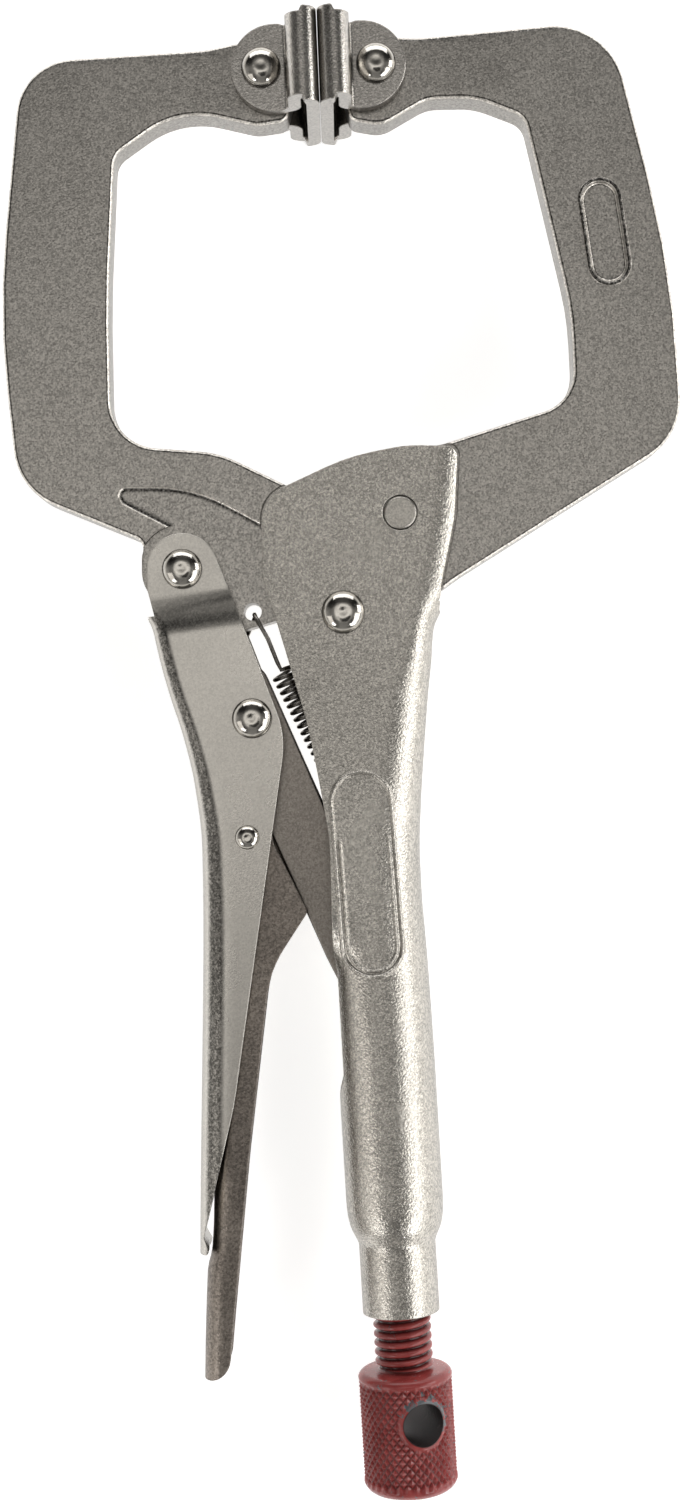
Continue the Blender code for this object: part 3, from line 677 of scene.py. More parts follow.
def make_movable_jaw(finish):
    outline = rounded(MOVABLE_JAW_OUTLINE)
    jaw = plate("movable_jaw_forging", outline, -ARM_HALF, ARM_HALF, JAW_EDGE, 3)
    recess(jaw, rounded(CRESCENT_OUTLINE), slope=CRESCENT_SLOPE)
    recess(jaw, rounded(UNDER_SHELL_OUTLINE))
    recess(jaw, circle(HANDLE_PIVOT, EAR_ROOM_RADIUS))
    drill(jaw, JAW_PIVOT, JAW_PIVOT_HOLE)
    drill(jaw, HANDLE_PIVOT, PIVOT_HOLE)
    drill(jaw, SPRING_HOLE, SPRING_HOLE_RADIUS)
    drill(jaw, MOVABLE_PAD_PIVOT, PIVOT_HOLE)
    stand_in(jaw, "movable_jaw", finish)


def make_fixed_jaw(finish):
    jaw = plate("fixed_jaw_forging", rounded(FIXED_JAW_OUTLINE), -ARM_HALF, ARM_HALF, JAW_EDGE, 3)
    recess(jaw, rounded(JAW_SHOULDER_OUTLINE))
    rim = [(*point, ARM_HALF - 0.12) for point in stadium(*PLAQUE_AXIS, PLAQUE_RADIUS)]
    boolean(jaw, bead(rim, PLAQUE_RIM), "UNION")
    inside = stadium(*PLAQUE_AXIS, PLAQUE_RADIUS - 1.05)
    boolean(jaw, plate("plaque_pocket", inside, ARM_HALF - 0.55, ARM_HALF + 2, 0.5, 3))
    drill(jaw, JAW_RIVET, JAW_RIVET_HOLE)
    drill(jaw, FIXED_PAD_PIVOT, PIVOT_HOLE)
    stand_in(jaw, "fixed_jaw", finish)


# ---------------------------------------------------------------- fixed handle

# Height along the screw's axis, back of the spine, depth of its bend, half width, reach of the
# cheeks, how far the cheeks are closed to a tube (0 to 1) and half the seam's width.
FIXED_HANDLE_STATIONS = [
    (112.0, 23.6, 7.4, 5.5, -32, 0, 0),
    (81.0, 18.6, 7.4, 5.5, -32, 0, 0),
    (76.5, 15.8, 5.8, 5.5, -30, 0, 0),
    (73.0, 14.1, 4.7, 5.5, -28, 0, 0),
    (67.0, 13.3, 6.0, 5.8, -26, 0, 0),
    (60.0, 12.2, 8.3, 6.3, -24, 0, 0),
    (50.0, 10.9, 8.9, 7.1, -18, 0, 0),
    (40.0, 9.7, 9.1, 7.9, -14, 0, 0),
    (30.0, 8.9, 9.2, 8.6, -11, 0, 0),
    (22.0, 8.8, 9.2, 9.0, -10, 0, 4.2),
    (15.0, 9.0, 9.2, 9.2, -9.5, 0.35, 4.2),
    (7.0, 9.2, 9.3, 9.3, -9.4, 1, 4.2),
    (-12.0, TUBE_RADIUS, TUBE_RADIUS, TUBE_RADIUS, 0, 1, 4.2),
    (-17.0, TUBE_RADIUS, TUBE_RADIUS, TUBE_RADIUS, 0, 1, 0.5),
    (-35.5, TUBE_RADIUS, TUBE_RADIUS, TUBE_RADIUS, 0, 1, 0.5),
    (-38.5, 9.3, 9.3, 9.3, 0, 1, 0.5),
    (-41.0, 8.9, 8.9, 8.9, 0, 1, 0.5),
    (-43.0, 8.1, 8.1, 8.1, 0, 1, 0.5),
    (-44.2, NECK_RADIUS + 0.1, NECK_RADIUS + 0.1, NECK_RADIUS + 0.1, 0, 1, 0.5),
    (-44.7, NECK_RADIUS, NECK_RADIUS, NECK_RADIUS, 0, 1, 0.5),
    (NECK_END, NECK_RADIUS, NECK_RADIUS, NECK_RADIUS, 0, 1, 0.5),
]
BEND_STEPS = 14
CHEEK_STEPS = 40
EMBOSS_AXIS = (Vector((-1.98, 40.7)), Vector((-1.41, 13.3)))
EMBOSS_OUTER = 5.7
EMBOSS_INNER = 4.6
EMBOSS_RIM = 0.42
EMBOSS_LINE = 0.34
JAW_SLOT = [(8.0, 2.3), (30.0, 2.3), (30.0, 40.0), (8.0, 40.0)]
STUD_FROM, STUD_TO = -7.6, 1.6


def channel_row(height, spine, depth, half_width, reach, closing, seam):
    """One cross-section of the fixed handle, from the back cheek's edge to the front one's."""
    half = []
    for step in range(BEND_STEPS + 1):
        angle = pi / 2 * step / BEND_STEPS
        half.append((spine - depth + depth * cos(angle), half_width * sin(angle)))
    seam_angle = pi - asin(seam / half_width)
    for step in range(1, CHEEK_STEPS + 1):
        part = step / CHEEK_STEPS
        flat = Vector((spine - depth + part * (reach - spine + depth), half_width))
        angle = pi / 2 + part * (seam_angle - pi / 2)
        tube = Vector((spine - depth + depth * cos(angle), half_width * sin(angle)))
        half.append(tuple(flat.lerp(tube, closing)))
    back = [(x, height, -z) for x, z in reversed(half[1:])]
    return back + [(x, height, z) for x, z in half]


def stepped(path):
    """A path with more points, so that no neighbours are more than a millimetre apart."""
    points = []
    for start, end in zip(path, path[1:]):
        count = max(1, ceil((end - start).length))
        points += [start.lerp(end, step / count) for step in range(count)]
    return points + [path[-1]]


def draped(path, surface, lift):
    """A path laid on the front of an object, from points (x, y) in millimetres."""
    draped_path = []
    for x, y in path:
        _, place, _, _ = surface.ray_cast(Vector((x, y, WELL_OUTSIDE)) * MM, Vector((0, 0, -1)))
        draped_path.append((x, y, place.z / MM + lift))
    return draped_path


def make_fixed_handle(finish):
    stations = eased(FIXED_HANDLE_STATIONS, lambda height: 0.9)
    handle = sheet("fixed_handle_shell", [channel_row(*station) for station in stations], SHEET)
    outer = stadium(*EMBOSS_AXIS, EMBOSS_OUTER)
    outer = stepped(outer + outer[:1])[:-1]
    boolean(handle, bead(draped(outer, handle, 0.05), EMBOSS_RIM), "UNION")
    arc = stadium(*EMBOSS_AXIS, EMBOSS_INNER)[21:]
    up = (EMBOSS_AXIS[0] - EMBOSS_AXIS[1]) * 0.75
    inner = stepped([arc[0] + up] + arc + [arc[-1] + up])
    boolean(handle, bead(draped(inner, handle, 0.0), EMBOSS_LINE, closed=False), "UNION")
    handle.data.transform(screw_frame_matrix())
    side = plate("shell_side", rounded(SHELL_SIDE), -WELL_OUTSIDE, WELL_OUTSIDE)
    boolean(handle, side, "INTERSECT")
    boolean(handle, plate("jaw_slot", JAW_SLOT, -TONGUE_HALF - GAP, TONGUE_HALF + GAP))
    drill(handle, JAW_PIVOT, JAW_PIVOT_HOLE)
    drill(handle, JAW_RIVET, CHEEK_RIVET_HOLE)
    stud = plate("spring_stud", circle(SPRING_STUD, STUD_RADIUS, 24), STUD_FROM, STUD_TO)
    boolean(handle, stud, "UNION")
    stand_in(handle, "fixed_handle", finish)


# ---------------------------------------------------------------- movable handle and lever

# Height, back of the spine, depth of its bend and half width.
MOVABLE_HANDLE_STATIONS = [
    (17.0, -40.4, 3.0, EAR_OUTER), (3.0, -40.4, 3.0, EAR_OUTER), (1.0, -38.9, 3.0, 5.6),
    (-2.0, -37.0, 3.2, 6.15), (-4.4, -36.2, 3.4, 6.74), (-4.9, -36.1, 3.4, FLANGE_OUTER),
    (-9.7, -35.0, 3.5, FLANGE_OUTER),
    (-16.0, -33.2, 3.6, FLANGE_OUTER), (-24.0, -30.6, 3.8, FLANGE_OUTER),
    (-33.0, -28.5, 4.1, FLANGE_OUTER), (-45.0, -27.1, 4.6, FLANGE_OUTER),
    (-60.0, -26.9, 5.0, FLANGE_OUTER), (-123.0, -27.5, 5.2, FLANGE_OUTER),
]

MOVABLE_HANDLE_SIDE = [
    (-37.6, 15.1, 6.6), (-37.3, 4.0, 6), (-36.0, -0.8, 0), (-45.0, -1.4, 0), (-45.0, -118.0, 0),
    (-28.6, -122.9, 0), (-25.0, -122.9, 1.0), (-26.6, -119.6, 1.0), (-20.7, -94.0, 60),
    (-10.9, -23.5, 18), (-17.5, -6.5, 40), (-26.1, 15.1, 6.9),
]

HANDLE_REACH = -6.0
EAR_FORK = [(-50.0, -1.6), (0.0, -1.6), (0.0, 20.0), (-50.0, 20.0)]
EAR_JAW_ROOM = [(-50.0, -1.2), (-33.0, -1.2), (-33.0, 9.0), (-50.0, 9.0)]
JOGGLE_PLACE = -0.5
JOGGLE_REACH = 12.0
JOGGLE_SLANT = 0.20
JOGGLE_BACK = -36.0

LEVER_BEND = 3.8
LEVER_REACH = 0.0
LEVER_FORK = [(-40.0, -52.0), (0.0, -52.0), (0.0, -30.0), (-40.0, -30.0)]

# Height and back of the web.
LEVER_STATIONS = [
    (-34.0, -24.6), (-60.0, -24.4), (-116.0, -24.9), (-122.0, -25.2), (-126.5, -26.1),
    (-149.0, -26.6),
]

LEVER_SIDE = [
    (-23.5, -36.9, 5.5), (-13.6, -36.9, 5.0), (-13.6, -43.6, 6), (-6.7, -57.2, 1.5),
    (-14.0, -68.5, 22), (-18.1, -105.0, 90), (-20.9, -136.0, 60), (-21.8, -147.1, 4.5),
    (-27.2, -147.1, 1.0), (-27.2, -120.0, 0), (-25.5, -50.0, 0),
]


def web_row(height, spine, depth, half_width, reach):
    """One cross-section of a channel that is open towards +X."""
    half = []
    for step in range(11):
        angle = pi / 2 * step / 10
        half.append((spine + depth - depth * cos(angle), half_width - depth + depth * sin(angle)))
    start = half[-1][0]
    half += [(start + (reach - start) * step / 12, half_width) for step in range(1, 13)]
    front = [(x, height, z) for x, z in reversed(half)]
    return front + [(x, height, -z) for x, z in half]


def slanted(row):
    """Raises a row of the movable handle towards its free edge where the joggle is."""
    height = row[0][1]
    share = max(0.0, 1 - abs(height - JOGGLE_PLACE) / JOGGLE_REACH)
    return [(x, y + JOGGLE_SLANT * share * (x - JOGGLE_BACK), z) for x, y, z in row]


def make_movable_handle(finish):
    stations = eased(MOVABLE_HANDLE_STATIONS, lambda height: 0.5 if height > -10 else 1.5)
    rows = [slanted(web_row(*station, HANDLE_REACH)) for station in stations]
    handle = sheet("movable_handle_shell", rows, SHEET)
    side = plate("handle_side", rounded(MOVABLE_HANDLE_SIDE), -WELL_OUTSIDE, WELL_OUTSIDE)
    boolean(handle, side, "INTERSECT")
    boolean(handle, plate("ear_fork", EAR_FORK, -TONGUE_HALF - GAP, TONGUE_HALF + GAP))
    boolean(handle, plate("ear_jaw_room", EAR_JAW_ROOM, -ARM_HALF - GAP, ARM_HALF + GAP))
    drill(handle, HANDLE_PIVOT, PIVOT_HOLE)
    drill(handle, LINK_PIVOT, PIVOT_HOLE)
    drill(handle, LEVER_PIVOT, LEVER_HOLE)
    stand_in(handle, "movable_handle", finish)


def make_release_lever(finish):
    stations = eased(LEVER_STATIONS, lambda height: 1.5)
    rows = [web_row(height, web, LEVER_BEND, LEVER_OUTER, LEVER_REACH) for height, web in stations]
    lever = sheet("release_lever_shell", rows, LEVER_SHEET)
    side = plate("lever_side", rounded(LEVER_SIDE), -WELL_OUTSIDE, WELL_OUTSIDE)
    boolean(lever, side, "INTERSECT")
    fork_half = LEVER_OUTER - LEVER_SHEET - 0.05
    boolean(lever, plate("lever_fork", LEVER_FORK, -fork_half, fork_half))
    drill(lever, LEVER_PIVOT, LEVER_HOLE)
    stand_in(lever, "release_lever", finish)


def make_toggle_link(finish):
    along = Vector(LINK_FOOT) - Vector(LINK_PIVOT)
    length = along.length
    half = LINK_HALF_WIDTH - LINK_EDGE
    foot = LINK_FOOT_RADIUS - LINK_EDGE
    bar = [
        (-half, -10.6, 4.4), (half, -10.6, 4.4), (half, length - 14, 12), (foot, length - 8, 0),
        (foot, length + foot, foot), (-foot, length + foot, foot), (-foot, length - 8, 0),
        (-half, length - 14, 12),
    ]
    heading = along.angle_signed(Vector((0, 1)))
    outline = [Matrix.Rotation(heading, 2) @ point + Vector(LINK_PIVOT) for point in rounded(bar)]
    link = plate("toggle_link_bar", outline, -LINK_HALF, LINK_HALF, LINK_EDGE, 3)
    drill(link, LINK_PIVOT, PIVOT_HOLE)
    stand_in(link, "toggle_link", finish)


# ---------------------------------------------------------------- adjusting screw and spring

KNURL_COUNT = 34
KNURL_DEPTH = 0.60
KNURL_SLANT = 1.95                      # height of one knurl diamond
KNURL_SINK = 0.08                       # how far the diamonds' tips lie under the knob's rims
KNOB_TOP_ROUND = 1.4
KNOB_END_ROUND = 2.5
KNOB_FILLET = 0.6
THREAD_ROW = 0.14                       # height of one row of the mesh
KNURL_ROW = 0.16
CROSS_HOLE_AXIS = Vector((sin(CROSS_HOLE_ANGLE), 0, cos(CROSS_HOLE_ANGLE)))
LIP_WIDTH = 1.1


def triangle(value):
    """A wave of period 1 that is 1 at whole numbers and 0 halfway between."""
    return abs(2 * (value % 1) - 1)


def screw_relief(angle, radius, height):
    """The helical thread under the neck and the diamond knurl round the knob."""
    turn = angle / (2 * pi)
    if radius == THREAD_RADIUS and KNOB_START + 0.4 < height < NECK_END + 2:
        wave = triangle(height / THREAD_PITCH + turn)
        crest = sin(pi / 2 * min(1.0, max(0.0, 1.5 * wave - 0.25)))
        return THREAD_ROOT + (THREAD_RADIUS - THREAD_ROOT) * crest
    if KNOB_END < height < KNOB_START and radius > KNOB_RADIUS - 0.02:
        point = Vector((radius * cos(angle), height - CROSS_HOLE_PLACE, radius * sin(angle)))
        lip = point.cross(CROSS_HOLE_AXIS).length - CROSS_HOLE_RADIUS
        end = min(height - KNOB_END - 2.0, KNOB_START - height - KNOB_TOP_ROUND,
                  lip - 0.5 * LIP_WIDTH)
        fade = min(1.0, max(0.0, end / 0.7))
        groove = 1 - min(triangle(KNURL_COUNT * turn + height / KNURL_SLANT),
                         triangle(KNURL_COUNT * turn - height / KNURL_SLANT))
        ring = KNURL_SINK * exp(-((lip - 0.4) / (0.6 * LIP_WIDTH)) ** 2)
        return radius - KNURL_DEPTH * fade * groove - KNURL_SINK + ring
    return radius


def quarter_round(radius, start, end, inwards):
    """Points of a rounded rim between two heights; inwards rims run from the side to the end."""
    depth = abs(end - start)
    points = []
    for step in range(7):
        angle = pi / 2 * step / 6
        turn = angle if inwards else pi / 2 - angle
        height = start - depth * sin(angle) if inwards else start - depth * (1 - cos(angle))
        points.append((radius - depth + depth * cos(turn), height))
    return points


def make_adjusting_screw(finish):
    tip = [(0, TIP_END), (1.4, TIP_END - 0.12), (2.6, TIP_END - 0.5), (3.8, TIP_END - 1.2),
           (4.6, TIP_END - 2.1), (5.1, TIP_END - 3.2), (THREAD_RADIUS, TIP_END - 3.6)]
    thread_top = NECK_END + 1.5
    thread_end = KNOB_START + 0.7
    count = round((thread_top - thread_end) / THREAD_ROW)
    thread = [(THREAD_RADIUS, thread_top - (thread_top - thread_end) * step / count)
              for step in range(count)]
    fillet = []
    for step in range(5):
        angle = pi / 2 * step / 4
        fillet.append((THREAD_ROOT + KNOB_FILLET * (1 - cos(angle)),
                       KNOB_START + KNOB_FILLET * (1 - sin(angle))))
    side_top = KNOB_START - KNOB_TOP_ROUND
    side_end = KNOB_END + KNOB_END_ROUND
    knob_top = fillet + quarter_round(KNOB_RADIUS, KNOB_START, side_top, False)
    count = round((side_top - side_end) / KNURL_ROW)
    side = [(KNOB_RADIUS, side_top - (side_top - side_end) * step / count)
            for step in range(1, count)]
    knob_end = quarter_round(KNOB_RADIUS, side_end, KNOB_END, True) + [(0, KNOB_END)]
    screw = turned("adjusting_screw_turned", tip + thread + knob_top + side + knob_end,
                   KNURL_COUNT * 12, screw_relief)
    bar = [(0, WELL_OUTSIDE), (CROSS_HOLE_RADIUS, WELL_OUTSIDE)]
    bar += [(radius, -height) for radius, height in reversed(bar)]
    hole = upright(turned("cross_hole", bar, 96))
    hole.data.transform(Matrix.Translation((0, CROSS_HOLE_PLACE * MM, 0))
                        @ Matrix.Rotation(CROSS_HOLE_ANGLE, 4, "Y"))
    boolean(screw, hole)
    screw.data.transform(screw_frame_matrix())
    stand_in(screw, "adjusting_screw", finish, angle=50)


def spring_route():
    """Centre line of the spring: upper hook, coil and lower loop."""
    start = Vector((*COIL_START, 0))
    end = Vector((*COIL_END, 0))
    axis = (end - start).normalized()
    side = Vector((-axis.y, axis.x, 0))
    turns = round((end - start).length / COIL_PITCH)
    hole = Vector((*SPRING_HOLE, 0))
    face = TONGUE_HALF + WIRE_RADIUS + GAP
    route = [hole + Vector((-1.6, -4.6, -face)), hole + Vector((-0.6, -2.2, -face - 0.1)),
             hole + Vector((0.1, -0.6, -face + 0.5)), hole + Vector((0.2, -0.3, 0)),
             hole + Vector((0.3, -0.6, face - 0.6)), hole + Vector((0.9, -1.7, face)),
             hole + Vector((2.9, -5.2, face)), start - axis * 1.6 + Vector((0, 0, 2.6))]
    for step in range(turns * COIL_STEPS + 1):
        angle = 2 * pi * step / COIL_STEPS
        around = Vector((0, 0, 1)) * cos(angle) + side * sin(angle)
        route.append(start + axis * (COIL_PITCH * step / COIL_STEPS) + around * COIL_RADIUS)
    stud = Vector((*SPRING_STUD, 0))
    loop = STUD_RADIUS + WIRE_RADIUS + GAP
    for degree in range(50, 320, 10):
        arm = Matrix.Rotation(radians(-degree), 3, "Z") @ -axis
        route.append(stud + arm * loop)
    return route


def make_return_spring(finish):
    curve = bpy.data.curves.new("spring_wire", "CURVE")
    curve.dimensions = "3D"
    curve.bevel_depth = WIRE_RADIUS * MM
    curve.bevel_resolution = 3
    curve.use_fill_caps = True
    route = spring_route()
    spline = curve.splines.new("POLY")
    spline.points.add(len(route) - 1)
    for target, point in zip(spline.points, route):
        target.co = (*(point * MM + ORIGIN), 1)
    drawn = new_object("spring_line", curve)
    spring = new_object("return_spring_wire", settled_mesh(drawn))
    bpy.data.objects.remove(drawn)
    spring.data.shade_smooth()
    spring.data.materials.clear()
    spring.data.materials.append(finish)
    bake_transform(spring)
    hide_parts("return_spring")


# ---------------------------------------------------------------- rivets

# Shares of a rivet head's radius.
DOME_HEIGHT = 0.64
DOME_DENT = 0.07
DENT_REACH = 0.28

DOME_FOOT = 0.12                        # share of the height that is the dome's upright foot
HEAD_LIFT = 0.2


def dome(radius, base, height, dent):
    """A rounded rivet head above a base height, dented in its middle, from crown to rim."""
    points = [(0, base + height - dent)]
    for step in range(1, 19):
        angle = pi / 2 * step / 18
        reach = radius * sin(angle)
        sunk = dent * exp(-(reach / (DENT_REACH * radius)) ** 2)
        points.append((reach, base + height * (DOME_FOOT + (1 - DOME_FOOT) * cos(angle)) - sunk))
    return points + [(radius - 0.12, base)]


def make_rivet(name, centre, shank, head, seat, finish):
    """A rivet with two domed heads that sit on faces at plus and minus seat."""
    base = seat + HEAD_LIFT
    upper = dome(head, base, DOME_HEIGHT * head, DOME_DENT * head) + [(shank, base)]
    lower = [(radius, -height) for radius, height in reversed(upper)]
    rivet = upright(turned(name + "_dome", upper + lower, 56))
    rivet.location = (centre[0] * MM, centre[1] * MM, 0)
    stand_in(rivet, name, finish, angle=60)


def make_flush_rivet(name, centre, radius, half, finish):
    """A rivet that is ground flush with both faces."""
    top = half - 0.02
    profile = [(0, top), (radius - 0.25, top), (radius, top - 0.14), (radius, half - SHEET - 0.2),
               (radius - 0.3, half - 2.0)]
    profile += [(r, -h) for r, h in reversed(profile)]
    rivet = upright(turned(name + "_flush", profile, 64))
    rivet.location = (centre[0] * MM, centre[1] * MM, 0)
    stand_in(rivet, name, finish, angle=20)


# ---------------------------------------------------------------- swivel pads

PAD_OUTLINE = [
    (12.0, -8.85, 0), (12.0, 8.85, 0), (8.1, 8.85, 0.5), (7.6, 7.8, 0), (5.0, 7.8, 1),
    (3.6, 8.3, 1), (-5.7, 8.3, 8.28), (-5.7, -8.3, 8.28), (3.6, -8.3, 1), (5.0, -7.8, 1),
    (7.6, -7.8, 0), (8.1, -8.85, 0.5),
]


PAD_FOLD = 1.75                         # radii in the middle of the sheet
PAD_BEND = 1.9
PAD_EAR_END = -9.0
PAD_CUT_HALF = 10.0                     # half width of the sheet before it is trimmed
PAD_FACE_GAP = 0.06                     # how far a face stays behind the middle between the pads


def pad_section(face):
    """Half of the pad's folded section, from the end of an ear to the middle of the face."""
    back_x = face - PAD_SHEET / 2 - 2 * PAD_FOLD
    ear_z = PAD_EAR_OUTER - PAD_SHEET / 2
    rim = PAD_HALF_WIDTH - PAD_SHEET / 2 - PAD_FOLD
    points = [(PAD_EAR_END, ear_z)]
    for step in range(10):
        angle = pi / 2 * step / 9
        points.append((back_x - PAD_BEND * (1 - sin(angle)), ear_z + PAD_BEND * (1 - cos(angle))))
    for step in range(25):
        angle = pi * step / 24
        points.append((back_x + PAD_FOLD * (1 - cos(angle)), rim + PAD_FOLD * sin(angle)))
    return points


def make_pad(name, pivot, towards, finish):
    """A pad folded from one sheet, with its face towards the other pad's pivot."""
    heading = Vector(towards) - Vector(pivot)
    half = pad_section(heading.length / 2 - PAD_FACE_GAP)
    section = half + [(x, -z) for x, z in reversed(half)]
    rows = [[(x, side, z) for x, z in section] for side in (-PAD_CUT_HALF, PAD_CUT_HALF)]
    pad = sheet(name + "_fold", rows, PAD_SHEET, offset=0)
    side = plate("pad_side", rounded(PAD_OUTLINE), -PAD_HALF_WIDTH - 5, PAD_HALF_WIDTH + 5)
    boolean(pad, side, "INTERSECT")
    drill(pad, (0, 0), PIVOT_HOLE)
    pad.data.transform(Matrix.Rotation(-Vector((1, 0)).angle_signed(heading), 4, "Z"))
    pad.location = (pivot[0] * MM, pivot[1] * MM, 0)
    stand_in(pad, name, finish)


# ---------------------------------------------------------------- setting

# Brightness of the room against the Y, the sideways reach and the height of a direction.
OVERHEAD_STOPS = [
    (-1.0, 0.30), (-0.60, 0.22), (-0.42, 0.35), (-0.28, 0.85), (-0.05, 1.0), (0.11, 1.0),
    (0.23, 0.56), (0.34, 0.22), (0.50, 0.08), (1.0, 0.10),
]
ASIDE_STOPS = [(0.0, 1.0), (0.18, 0.97), (0.42, 0.25), (0.70, 0.18), (1.0, 0.40)]
HORIZON_STOPS = [(0.0, 1.0), (0.14, 0.85), (0.34, 0.0), (1.0, 0.0)]
OVERHEAD_TINT = (1.0, 0.98, 0.945)
HORIZON_COLOUR = (0.90, 0.882, 0.846)
DARK_PLACE = Vector((0.10, -0.24, 0.95)).normalized()       # a direction in the room, overhead
DARK_EDGES = (0.955, 0.991)
DARK_SHADE = 0.94

FLOOR_TONES = ((0.93, 0.93, 0.93), (0.95, 0.95, 0.95))
FLOOR_GLOW = 0.66

LENS = 49.65
SENSOR = 36
CAMERA_PLACE = (0.00013, 0.0020, ORIGIN.z + 0.400)

WHITE = (1.0, 1.0, 1.0)
NEUTRAL = (1.0, 0.995, 0.98)
WARM = (1.0, 0.97, 0.93)
CLAMP = (0.0, 0.0, 0.01)

# Name, place, size, radiance, colour and aim of each softbox.
SOFTBOXES = [
    ("right_box", (0.82, -0.52, 0.57), (1.0, 0.56), 2.15, NEUTRAL, (0, -0.5, 0)),
    ("low_right_box", (0.92, 0.26, 0.40), (0.40, 0.40), 4.6, NEUTRAL, (0, 0.26, 0)),
    ("left_box", (-0.74, -0.60, 0.58), (0.9, 0.50), 1.0, WARM, (0, -0.6, 0)),
    ("lower_right_box", (0.50, -0.60, 0.50), (0.26, 0.26), 3.5, WHITE, CLAMP),
    ("lower_left_box", (-0.50, -0.60, 0.50), (0.22, 0.22), 3.5, WHITE, CLAMP),
    ("upper_box", (0.0, 0.90, 0.36), (1.2, 0.40), 2.0, WHITE, CLAMP),
]


def area_light(name, place, size, radiance, colour, aim):
    """A softbox that looks that bright from the clamp. Its first size runs along the horizon."""
    light = bpy.data.lights.new(name, "AREA")
    light.shape = "RECTANGLE"
    light.size, light.size_y = size
    light.energy = radiance * pi * size[0] * size[1]
    light.color = colour
    obj = new_object(name, light)
    obj.location = place
    obj.rotation_euler = (Vector(aim) - Vector(place)).to_track_quat("-Z", "Y").to_euler()


def make_floor():
    shape = bmesh.new()
    bmesh.ops.create_grid(shape, x_segments=4, y_segments=4, size=3.0)
    mesh = bpy.data.meshes.new("floor")
    shape.to_mesh(mesh)
    shape.free()
    floor = new_object("floor", mesh)
    n = Finish("floor_paper")
    mesh.materials.append(n.made_of(
        Base_Color=n.mix(n.noise(400.0), *FLOOR_TONES), Roughness=0.9, Specular_IOR_Level=0.1,
        Emission_Color=(*WHITE, 1.0), Emission_Strength=FLOOR_GLOW))


def make_world():
    """A dim room: darker overhead towards the pads, brighter round the horizon."""
    world = bpy.data.worlds.new("room")
    bpy.context.scene.world = world
    world.use_nodes = True
    n = Nodes(world.node_tree)
    direction = n.add("ShaderNodeTexCoord").outputs["Generated"]
    parts = n.add("ShaderNodeSeparateXYZ")
    n.feed(parts.inputs["Vector"], direction)

    def ramp(value, low, high, stops, tint=WHITE):
        colours = n.add("ShaderNodeValToRGB")
        n.feed(colours.inputs["Fac"], n.remap(value, low, high))
        while len(colours.color_ramp.elements) < len(stops):
            colours.color_ramp.elements.new(0.5)
        for element, (stop, brightness) in zip(colours.color_ramp.elements, stops):
            element.position = (stop - low) / (high - low)
            element.color = (*(brightness * part for part in tint), 1)
        return colours.outputs["Color"]

    overhead = ramp(parts.outputs["Y"], -1, 1, OVERHEAD_STOPS, OVERHEAD_TINT)
    aside = ramp(n.maths("ABSOLUTE", parts.outputs["X"]), 0, 1, ASIDE_STOPS)
    horizon = ramp(parts.outputs["Z"], 0, 1, HORIZON_STOPS)
    room = n.mix(horizon, n.mix(1.0, overhead, aside, "MULTIPLY"), HORIZON_COLOUR)
    facing = n.vector("DOT_PRODUCT", direction, DARK_PLACE, output="Value")
    shade = n.remap(facing, *DARK_EDGES, 1.0, 1 - DARK_SHADE, curve="SMOOTHSTEP")
    background = n.tree.nodes["Background"]
    n.feed(background.inputs["Strength"], shade)
    n.feed(background.inputs["Color"], room)


def make_camera():
    """Straight above the clamp."""
    camera = bpy.data.cameras.new("camera")
    camera.lens = LENS
    camera.sensor_width = SENSOR
    camera.clip_start = 0.01
    obj = new_object("camera", camera)
    obj.location = CAMERA_PLACE
    bpy.context.scene.camera = obj


# ---------------------------------------------------------------- assembly

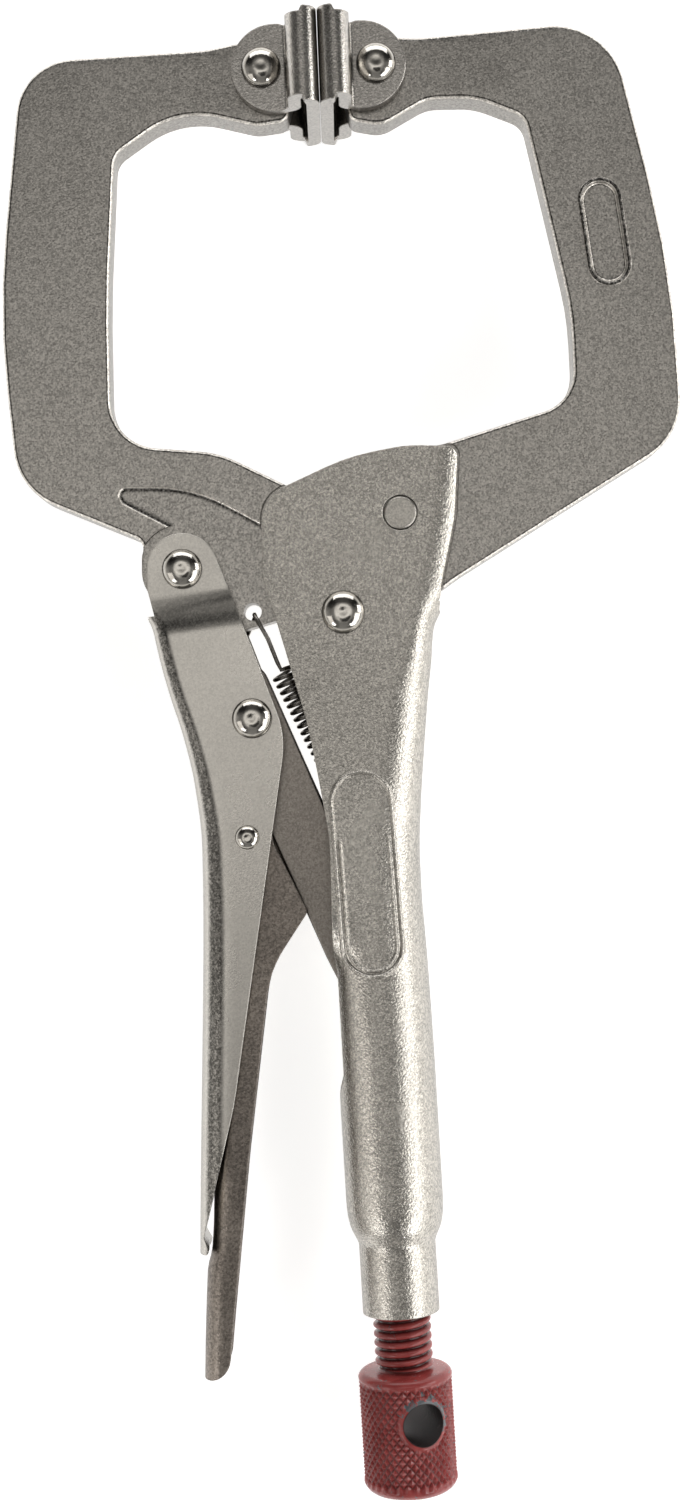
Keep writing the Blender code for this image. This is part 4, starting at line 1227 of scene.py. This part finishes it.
def main():
    forged = plated("forged_steel", (0.50, 0.475, 0.44), 0.32, 0.34, 0.055, sparkle=0.36, pits=0.6,
                    edge=0.25, slope_shade=1.0, slope_shade_end=(0.84, 0.92), rim=1.75)
    pressed = plated("pressed_steel", (0.62, 0.59, 0.54), 0.24, 0.36, 0.120, sparkle=0.26, pits=0.0)
    smooth = plated("handle_steel", (0.67, 0.64, 0.59), 0.28, 0.34, 0.020, sparkle=0.09,
                    blotch=0.05, pits=0.2, slope_shade=0.9)
    dark = plated("lever_steel", (0.33, 0.29, 0.255), 0.34, 0.40, 0.070, sparkle=0.32,
                  blotch=0.35, pits=0.6)
    link = plated("link_steel", (0.37, 0.335, 0.30), 0.34, 0.34, 0.040, pits=0.3)
    pads = plated("pad_steel", (0.64, 0.61, 0.57), 0.24, 0.32, 0.040)
    domes = polished("rivet_steel", (0.66, 0.63, 0.58), 0.09)
    flush = plated("flush_rivet_steel", (0.62, 0.59, 0.54), 0.36, 0.30, 0.020, pits=0.0)
    red = red_lacquer("red_paint")
    wire = drawn_wire("spring_steel")

    make_fixed_handle(pressed)
    make_fixed_jaw(forged)
    make_movable_jaw(forged)
    make_movable_handle(smooth)
    make_toggle_link(link)
    make_release_lever(dark)
    make_adjusting_screw(red)
    make_return_spring(wire)
    make_pad("fixed_pad", FIXED_PAD_PIVOT, MOVABLE_PAD_PIVOT, pads)
    make_pad("movable_pad", MOVABLE_PAD_PIVOT, FIXED_PAD_PIVOT, pads)
    make_flush_rivet("fixed_jaw_rivet", JAW_RIVET, 3.1, CHEEK_OUTER, flush)
    for name, pivot, shank, head, seat in (
            ("jaw_pivot_rivet", JAW_PIVOT, 3.0, 4.1, CHEEK_OUTER),
            ("handle_pivot_rivet", HANDLE_PIVOT, 2.5, 3.8, EAR_OUTER),
            ("link_pivot_rivet", LINK_PIVOT, 2.5, 3.8, FLANGE_OUTER),
            ("release_lever_rivet", LEVER_PIVOT, 1.3, 2.3, FLANGE_OUTER),
            ("fixed_pad_rivet", FIXED_PAD_PIVOT, 2.5, 3.75, PAD_EAR_OUTER),
            ("movable_pad_rivet", MOVABLE_PAD_PIVOT, 2.5, 3.75, PAD_EAR_OUTER)):
        make_rivet(name, pivot, shank, head, seat, domes)

    make_floor()
    make_world()
    for softbox in SOFTBOXES:
        area_light(*softbox)
    make_camera()
    bpy.context.scene.view_settings.view_transform = "Standard"


main()
